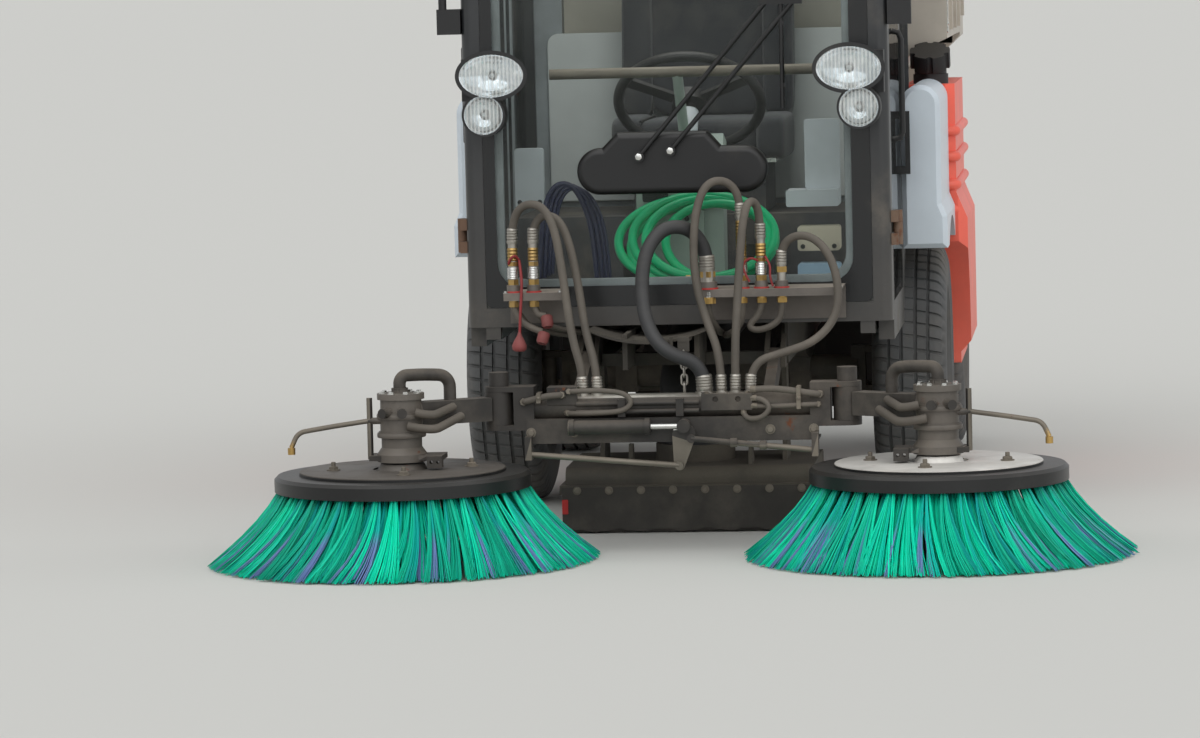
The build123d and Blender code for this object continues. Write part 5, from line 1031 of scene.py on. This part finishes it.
def oval_shell(shape, middle, half, section):
    """A closed wall of ovals of one middle, joined one to the next along a section."""
    x, y, z = middle
    points = [
        front(u, v, y + depth)
        for depth, share in section
        for u, v in oval(x, z, half[0] * share, half[1] * share, LAMP_STEPS)
    ]
    shape.add(points, grid(len(section), LAMP_STEPS, loop=True))


bowls, domes = Shape(), Shape()
for x, z, half_width, half_height, y in LAMPS:
    for side in (-1, 1):
        middle, half = (side * x, y, z), (half_width, half_height)
        oval_shell(bowls, middle, half, BOWL_SHELL)
        back = mm(side * x, y + 33, z)
        bowls.lathe(in_mm([(0, 10), (6, 10), (7, 6)]), back, mm(*middle), 16, 1)
        bowls.lathe(in_mm(BULB), back, mm(*middle), 16, 2)
        oval_shell(domes, middle, half, DOME_SHELL)
for piece in (
    bowls.piece("lamp_bowls", "root", ["chrome", "black_plastic", "lamp_white"], "lens", smooth=50),
    domes.piece("lamp_domes", "root", ["lens"], "lens", smooth=50),
):
    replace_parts(piece, "lamp_lenses")


# Rear lamps, blank number plate, rings of the beacon and mirror glass

# Depths of the bumper's rear face, of the lamp clusters on it and of their lenses
BUMPER_FACE, CLUSTER_FACE, LENS_FACE = 1768, 1772, 1779
rear = Shape()
for side in (-1, 1):
    rear.slab(on_side(side, 400, 540, 464, 536, 8), BUMPER_FACE, CLUSTER_FACE)
    for slot, near, far in ((1, 490, 536), (2, 446, 487), (3, 404, 443)):
        rear.slab(on_side(side, near, far, 468, 532, 6), CLUSTER_FACE, LENS_FACE, slot)
rear_looks = ["black_plastic", "lamp_red", "beacon_amber", "lamp_white"]
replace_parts(rear.piece("rear_clusters", "root", rear_looks, "lamp_red", bevel=0.0015), "rear_lamps")
PLATE_FACE = BUMPER_FACE + 1.6
plate = Shape()
plate.slab(rounded(-392, -148, 460, 540, 8), PLATE_FACE - 1.5, PLATE_FACE)
for x in (-372, -168):
    plate.bolt(mm(x, PLATE_FACE, 500), (0, 1, 0), 0.004, 0.003, 1)
plate.piece("blank_plate", "root", ["plate_white", "steel"], "roof_paint")
ribs = Shape()
for z, r in ((1986, 54.6), (1996, 54.2), (2006, 53.4), (2016, 52.4), (2026, 51.6)):
    ribs.ring([mm(u, v, z) for u, v in oval(0, 120, r, r, 40)], 0.0012, 6)
ribs.piece("beacon_ribs", "root", ["beacon_amber"], "beacon_amber", smooth=60)
MIRROR_FRONT, MIRROR_GLASS = -968, 1.6
mirror_glass = Shape()
for side in (-1, 1):
    outline = on_side(side, 604, 776, 1440, 1720, 22)
    mirror_glass.slab(outline, MIRROR_FRONT, MIRROR_FRONT + MIRROR_GLASS)
mirror_glass.piece("mirror_glass", "root", ["looking_glass"], "steel")


# Wheels: tyres with ribs, grooves and cross cuts, wheel nuts and hub caps

WHEEL_R, WHEEL_X = 333.0, 527.5
# Tyre section from its side to its middle: distance from the middle, radius, and depth of the cross cuts
TYRE_HALF = (
    (70.5, 190.5, 0), (82, 197, 0), (90, 214, 0), (92.5, 216, 0), (93.5, 221, 0), (96.5, 240, 0),
    (97.2, 258, 0), (95.6, 282, 0), (93.2, 292, 1), (89.0, 305, 5), (83.5, 317.5, 6), (76, 325.8, 7),
    (66, 329.4, 7), (55, 331, 7), (54, 322.4, 0), (47, 322.4, 0), (46, 331.6, 5), (34, 332.4, 5),
    (23, 332.7, 5), (22, 323.6, 0), (15, 323.6, 0), (14, 332.8, 3), (5, 332.9, 3),
)
TYRE_PROFILE = TYRE_HALF + tuple((-x, r, cut) for x, r, cut in reversed(TYRE_HALF))
LUGS = 60
# Along one lug: share of its length, and whether the cross cut is there
CUT_STEPS = ((0.0, 0), (0.72, 0), (0.77, 1), (0.95, 1))
# Share of a lug by which the cross cuts are ahead at the tyre's edge
LUG_SLANT, TREAD_EDGE = 0.42, 97
WHEEL_NUTS, NUT_CIRCLE = 5, 60
HUB_CAP = ((0, 37), (10, 37), (16, 33), (20, 22), (20.5, 2))


def treaded_tyre(name, side, y, body):
    """Tyre sections around the wheel, with cross cuts that slant over the tread."""
    points = []
    for lug in range(LUGS):
        for share, cut_here in CUT_STEPS:
            for x, r, cut in TYRE_PROFILE:
                angle = tau * (lug + share + LUG_SLANT * x / TREAD_EDGE) / LUGS
                radius = r - cut * cut_here
                points.append(mm(side * WHEEL_X + x, y + radius * cos(angle), WHEEL_R + radius * sin(angle)))
    shape = Shape()
    shape.add(points, grid(LUGS * len(CUT_STEPS), len(TYRE_PROFILE), loop=True))
    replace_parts(shape.piece(name, body, ["tyre"], "tyre", smooth=40), name.replace("tread", "tyre"))


def wheel_trim(name, side, y, body):
    """Wheel nuts, hub cap and valve."""

    def at(out, along=0.0, up=0.0):
        return mm(side * (WHEEL_X + out), y + along, WHEEL_R + up)

    trim = Shape()
    for along, up in oval(0, 0, NUT_CIRCLE, NUT_CIRCLE, WHEEL_NUTS):
        trim.bolt(at(30, along, up), (side, 0, 0), 0.0105, 0.016)
    trim.lathe(in_mm(HUB_CAP), at(58), at(80), 28, 1)
    trim.rod(at(62, 0, 176), at(84, 0, 172), 0.004, 10, 1)
    trim.piece(name, body, ["bright_steel", "black_plastic"], "rim_paint")


for side_name, side in SIDES:
    for end, y in AXLES:
        body = f"wheel_{end}_{side_name}"
        treaded_tyre(f"tread_{end}_{side_name}", side, y, body)
        wheel_trim(f"wheel_trim_{end}_{side_name}", side, y, body)


# Couplers: nuts, red rings, ribbed sleeves and barbs

PLATE_TOP, PLATE_LOW, COUPLER_Y = 623, 618, -1050
# Each coupler: distance to the left, height of its top, radius
COUPLERS = ((-393, 742, 11), (-343, 742, 11), (80, 668, 19), (164, 793, 11), (211, 743, 11), (260, 677, 11))
SHORT_COUPLER = 700


def coupler_parts(top):
    """Parts of a coupler: corners, material slot, then heights in mm and what is added to its radius."""
    yield 24, 1, [(PLATE_TOP, 8), (PLATE_TOP + 3, 8), (PLATE_TOP + 4, 6)]
    yield 6, 0, [(PLATE_LOW - 14, 6), (PLATE_LOW - 1, 6)]
    yield 6, 2, [(PLATE_LOW - 30, 2), (PLATE_LOW - 18, 2)]
    if top < SHORT_COUPLER:
        yield 6, 2, [(top - 16, 2.5), (top - 2, 2.5)]
        return
    yield 6, 2, [(642, 3), (655, 3)]
    yield 24, 0, [point for k in range(7) for point in ((658 + 4 * k, 3.6), (660.5 + 4 * k, 2.8))]
    yield 6, 2, [(688, 2.4), (698, 2.4)]
    barbs = [point for k in range((top - 704) // 8) for point in ((703 + 8 * k, 2.4), (708 + 8 * k, 0.6))]
    yield 24, 2, [(700, 0.4), *barbs]


fitting = Shape()
for x, top, r in COUPLERS:
    for corners, slot, section in coupler_parts(top):
        profile = in_mm([(height, r + more) for height, more in section])
        fitting.lathe(profile, mm(x, COUPLER_Y, 0), mm(x, COUPLER_Y, 0) + UP, corners, slot)
for x in (-410, -277, 66, 402):
    fitting.bolt(mm(x, -1066, PLATE_TOP), UP, 0.0045, 0.005)
fitting.piece("coupler_parts", "root", ["bright_steel", "red_plastic", "brass"], "steel")

# Straps of the dust caps: radius, then the route, in mm
STRAPS = (
    (3.5, (
        (-377, -1052, 702), (-369, -1070, 660), (-371, -1078, 612), (-375, -1080, 560), (-377, -1080, 518),
    )),
    (3, ((-377, -1052, 702), (-384, -1066, 716), (-396, -1068, 708), (-404, -1060, 690), (-398, -1040, 688))),
    (2.8, ((204, -1062, 690), (192, -1074, 700), (172, -1072, 690), (168, -1066, 668), (184, -1068, 640))),
    (2.8, ((222, -1058, 700), (236, -1066, 680), (232, -1070, 652), (240, -1066, 628))),
)
HANGING_CAP = ((0, 3), (10, 6), (22, 13), (34, 18), (44, 17), (48, 12))
OPEN_CAP = ((0, 12), (3, 14.5), (24, 14.5), (27, 12), (29, 12), (29, 9), (12, 9), (12, 1))
strap = Shape()
for r, route in STRAPS:
    strap.run(route, r, 8)
strap.lathe(in_mm(HANGING_CAP), mm(-377, -1080, 530), mm(-379, -1078, 480), 20, 1)
for x, z, dx in ((-312, 566, 4), (-318, 526, -6)):
    strap.lathe(in_mm(OPEN_CAP), mm(x, -1066, z), mm(x + dx, -1076, z - 26), 20, 1)
strap.piece("caps_and_straps", "root", ["strap_red", "dust_cap"], "rubber", smooth=50)

# Hoses under the plates: radius, then the route, in mm
LOW_HOSES = (
    (8, ((-393, -1050, 590), (-388, -1056, 566), (-352, -1064, 536), (-322, -1066, 528))),
    (8, ((-343, -1050, 590), (-338, -1056, 572), (-322, -1064, 566), (-312, -1066, 566))),
    (8, (
        (211, -1050, 590), (206, -1050, 560), (176, -1052, 532), (196, -1054, 520), (236, -1054, 530),
        (260, -1050, 556), (260, -1050, 590),
    )),
    (9, ((164, -1050, 590), (164, -1050, 552), (146, -1030, 520), (120, -980, 505), (110, -900, 500))),
    (9, ((80, -1050, 590), (80, -1048, 560), (96, -1020, 528), (100, -960, 512), (98, -890, 505))),
    (7, ((-393, -1042, 596), (-380, -1020, 556), (-340, -980, 520), (-262, -900, 505))),
    (7, ((-343, -1042, 596), (-334, -1010, 552), (-300, -960, 524), (-240, -880, 510))),
)
low_hoses = Shape()
for r, route in LOW_HOSES:
    low_hoses.run(route, r, steps=8)
low_hoses.piece("low_hoses", "root", ["hose_rubber"], "hose_rubber", smooth=60)


# Chain between the tray and the beam: oval links, each turned a quarter from the last

LINK_X, LINK_Y, LINK_LOW, LINK_HIGH, LINKS = 27, -1146, 383, 480, 5
LINK_BEND, LINK_STRAIGHT = 7.0, 6.4
links = Shape()
pitch = (LINK_HIGH - LINK_LOW) / LINKS
for k in range(LINKS):
    loop = []
    for wide, high in oval(0, 0, LINK_BEND, LINK_BEND, 20):
        high += (LINK_STRAIGHT if high >= 0 else -LINK_STRAIGHT) + LINK_LOW + pitch * (k + 0.5)
        loop.append(mm(LINK_X + wide, LINK_Y, high) if k % 2 else mm(LINK_X, LINK_Y + wide, high))
    links.ring(loop, 0.0027, 8)
chain_links = links.piece("chain_links", None, ["steel"], "steel", smooth=60)
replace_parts(chain_links, "chain")
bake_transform(chain_links)


# Bolts of the carrier, a ring on its cylinder, and the hoses and pipes along its beam

carrier = Shape()
for x in (-340, -236, 236, 340):
    carrier.bolt(mm(x, -1205, 295), (0, -1, 0), 0.008, 0.008)
for x in (84, 182):
    carrier.bolt(mm(x, -1196, 382), UP, 0.005, 0.005)
carrier.lathe(in_mm([(0, 17.5), (6, 17.5)]), mm(-247, -1229, 308), mm(-49, -1229, 308), 24)
carrier.piece("carrier_bolts", "lift_frame", ["dull_steel"], "steel")

# Hoses and pipes that lie along the beam, with their clamps: radius, then the route, in mm
BEAM_HOSES = (
    (6.5, (
        (194, -1207, 370), (216, -1214, 372), (240, -1226, 350), (222, -1226, 326), (192, -1218, 320),
        (174, -1208, 328), (172, -1202, 343),
    )),
    (8.0, (
        (192, -1200, 390), (232, -1208, 394), (290, -1214, 388), (340, -1218, 380), (356, -1214, 378),
        (356, -1204, 378),
    )),
    (6.0, (
        (194, -1207, 352), (230, -1212, 350), (280, -1216, 352), (328, -1218, 354), (352, -1214, 354),
        (352, -1204, 354),
    )),
    (8.0, (
        (-264, -1204, 384), (-264, -1218, 386), (-300, -1222, 384), (-340, -1218, 374), (-356, -1214, 370),
        (-356, -1204, 370),
    )),
    (6.5, (
        (-246, -1204, 392), (-246, -1216, 394), (-180, -1218, 396), (-112, -1218, 390), (-92, -1221, 366),
        (-112, -1222, 347), (-150, -1220, 342), (-244, -1216, 340), (-254, -1196, 341),
    )),
)
beam_hoses = Shape()
for r, route in BEAM_HOSES:
    beam_hoses.run(route, r, steps=8)
    for end, after in ((route[0], route[1]), (route[-1], route[-2])):
        ferrule = in_mm([(-2, r + 1.5), (11, r + 1.5), (13, r)])
        beam_hoses.lathe(ferrule, mm(*end), mm(*after), 6, 1)
for x, low, high, y in ((306, 344, 398, -1226), (-318, 368, 392, -1230)):
    beam_hoses.box(mm(x - 5, y, low), mm(x + 5, -1182, high), 1)
    beam_hoses.bolt(mm(x, y, (low + high) / 2), (0, -1, 0), 0.004, 0.004, 1)
beam_hoses.piece("beam_hoses", "lift_frame", ["hose_rubber", "dull_steel"], "hose_rubber", smooth=50)


# Brushes: disc with its studs, and the motor's bolts, seams and hoses

DISC_TOP, STUD_CIRCLE, MOTOR_TOP, MOTOR_CIRCLE = 220.8, 165, 404.6, 45
DISC_PLATE = ((0, 246), (2, 246), (3, 244), (3.4, 100), (3.4, 70), (0, 70))
MOTOR_SEAM = ((0, 57.5), (3, 58.5), (8, 58.5), (11, 57.5))
# Route of each motor hose: its start, its bend and its end
MOTOR_HOSES = (
    ((598, -1352, 361), (560, -1352, 352), (520, -1262, 366)),
    ((616, -1362, 330), (556, -1368, 318), (500, -1268, 344)),
)


def disc_studs(side_name, side):
    studs = Shape()
    for k in range(4):
        a = radians(90 * k - 90 - 9 * side)
        at = mm(side * BRUSH_X + STUD_CIRCLE * cos(a), BRUSH_Y + STUD_CIRCLE * sin(a), 224)
        studs.bolt(at, UP, 0.011, 0.010)
        studs.rod(at, at + mm(0, 0, 20), 0.0055, 10)
    middle = mm(side * BRUSH_X, BRUSH_Y, DISC_TOP)
    studs.lathe(in_mm(DISC_PLATE), middle, middle + UP, 72, 1, closed=True)
    disc_looks = ["dull_steel", "disc_" + side_name]
    studs.piece(f"disc_studs_{side_name}", f"brush_{side_name}", disc_looks, "disc_paint")


def motor_parts(side_name, side):
    parts = Shape()
    for k in range(8):
        a = tau * (k + 0.5) / 8
        at = mm(side * BRUSH_X + MOTOR_CIRCLE * cos(a), BRUSH_Y + MOTOR_CIRCLE * sin(a), MOTOR_TOP)
        parts.bolt(at, UP, 0.0058, 0.006)
    for start, bend, end in MOTOR_HOSES:
        after = ((bend[0] + end[0]) / 2, (bend[1] + end[1]) / 2 - 6, (bend[2] + end[2]) / 2)
        route = [(side * x, y, z) for x, y, z in (start, bend, after, end)]
        parts.run(route, 10.5, 12, 2, steps=8)
    for low in (300, 345):
        middle = mm(side * BRUSH_X, BRUSH_Y, low)
        parts.lathe(in_mm(MOTOR_SEAM), middle, middle + UP, 40, 1)
    motor_looks = ["bright_steel", "motor_grey", "hose_rubber"]
    parts.piece(f"motor_parts_{side_name}", f"brush_arm_{side_name}", motor_looks, "steel")


for side_name, side in SIDES:
    disc_studs(side_name, side)
    motor_parts(side_name, side)


# Suction mouth's flap, splash curtains, hopper strips, door grips and wiper nuts

MOUTH_HALF, FLAP_TOP, FLAP_LOW, FLAP_STEPS, FLAP_FRONT = 318, 116, 8, 40, -783
mouth = Shape()
flap = [
    (MOUTH_HALF * (2 * i / FLAP_STEPS - 1), FLAP_LOW + 3.5 * sin(i * 0.9) + 2 * sin(i * 2.3))
    for i in range(FLAP_STEPS + 1)
]
flap += [(MOUTH_HALF, FLAP_TOP), (-MOUTH_HALF, FLAP_TOP)]
mouth.slab(flap, FLAP_FRONT, FLAP_FRONT + 3.8)
for x in range(-280, 281, 80):
    mouth.bolt(mm(x, FLAP_FRONT, 108), (0, -1, 0), 0.007, 0.006, 1)
for side in (-1, 1):
    mouth.slab(on_side(side, 303, MOUTH_HALF, 50, 86, 2), FLAP_FRONT - 2, FLAP_FRONT, 2)
mouth.piece("mouth_flap", "root", ["rubber", "dull_steel", "red_plastic"], "rubber")

CURTAIN_LOW, CURTAIN = 196, 4
curtain = Shape()
for side in (-1, 1):
    curtain.slab(on_side(side, 272, 504, CURTAIN_LOW, 520, 10), 470, 470 + CURTAIN)
curtain.slab(rounded(-268, 268, CURTAIN_LOW, 424, 10), 640, 640 + CURTAIN)
curtain.piece("splash_curtains", "root", ["rubber"], "rubber")

HOPPER_SIDE, STRIP_FACE = 620, 622.5
body_trim = Shape()
for side in (-1, 1):
    low, high = sorted((side * HOPPER_SIDE, side * STRIP_FACE))
    body_trim.slab(rounded(432, 456, 1204, 1868, 6), low, high, at=side_on)
    for z in (1230, 1400, 1620, 1840):
        body_trim.bolt(mm(side * STRIP_FACE, 444, z), (side, 0, 0), 0.004, 0.003)
body_trim.piece("hopper_strips", "hopper", ["bright_steel"], "steel")

# Grip of a door: distance from the middle and height, then its place along the door
GRIP = ((522, 962), (538, 966), (544, 980), (544, 1095), (544, 1210), (538, 1226), (522, 1230))
GRIP_Y = -700
for side_name, side in SIDES:
    grip = Shape()
    grip.tube([mm(side * x, GRIP_Y, z) for x, z in GRIP], 0.0075, 12)
    grip.piece(f"door_grip_{side_name}", f"door_{side_name}", ["black_plastic"], "cab_paint", smooth=50)

WIPER_SPINDLES, ROD_CLIP_HEIGHTS = ((-85, 944), (-8, 957)), (1110, 1260, 1440, 1590)
wiper_nuts = Shape()
for x, z in WIPER_SPINDLES:
    wiper_nuts.bolt(mm(x, -992, z), (0, -1, 0), 0.008, 0.006)
for z in ROD_CLIP_HEIGHTS:
    wiper_nuts.box(mm(260, -989, z - 5), mm(275, -978, z + 5), 1)
wiper_nuts.piece("wiper_parts", "root", ["bright_steel", "black_plastic"], "steel")


# Floor, sky and lamps

FLOOR_HALF = 900.0
SKY_STRENGTH = 0.76
floor = Shape()
corners = [(x * FLOOR_HALF, y * FLOOR_HALF, 0) for x, y in ((-1, -1), (1, -1), (1, 1), (-1, 1))]
floor.add(corners, [(0, 1, 2, 3)])
floor.piece("floor", None, ["floor"], closed=False)

world = bpy.data.worlds.new("world")
bpy.context.scene.world = world
world.use_nodes = True
sky = world.node_tree.nodes["Background"]
sky.inputs[0].default_value = rgb(232, 234, 236)
sky.inputs[1].default_value = SKY_STRENGTH


def sun(name, toward, strength, spread):
    """Even light from far away, from the side that toward points to."""
    data = bpy.data.lights.new(name, "SUN")
    data.energy = strength
    data.angle = radians(spread)
    lamp = bpy.data.objects.new(name, data)
    lamp.rotation_mode = "QUATERNION"
    lamp.rotation_quaternion = Vector(toward).to_track_quat("Z", "Y")
    bpy.context.scene.collection.objects.link(lamp)


# A weak lamp under the roof of the cab
CAB_WATTS, CAB_LAMP_AT = 7, (0, -0.62, 1.85)
cab_lamp = bpy.data.lights.new("cab", "AREA")
cab_lamp.shape = "RECTANGLE"
cab_lamp.size, cab_lamp.size_y = 0.8, 0.5
cab_lamp.energy = CAB_WATTS
cab_light = bpy.data.objects.new("cab", cab_lamp)
cab_light.location = CAB_LAMP_AT
cab_light.rotation_euler = (radians(12), 0, 0)
bpy.context.scene.collection.objects.link(cab_light)

# Broad daylight: direction, strength and spread in degrees
sun("key", (-0.2, -0.8, 0.95), 1.05, 60)
sun("fill", (1.0, -0.7, 0.4), 0.75, 80)
sun("low", (0.1, -1.0, 0.12), 0.35, 60)
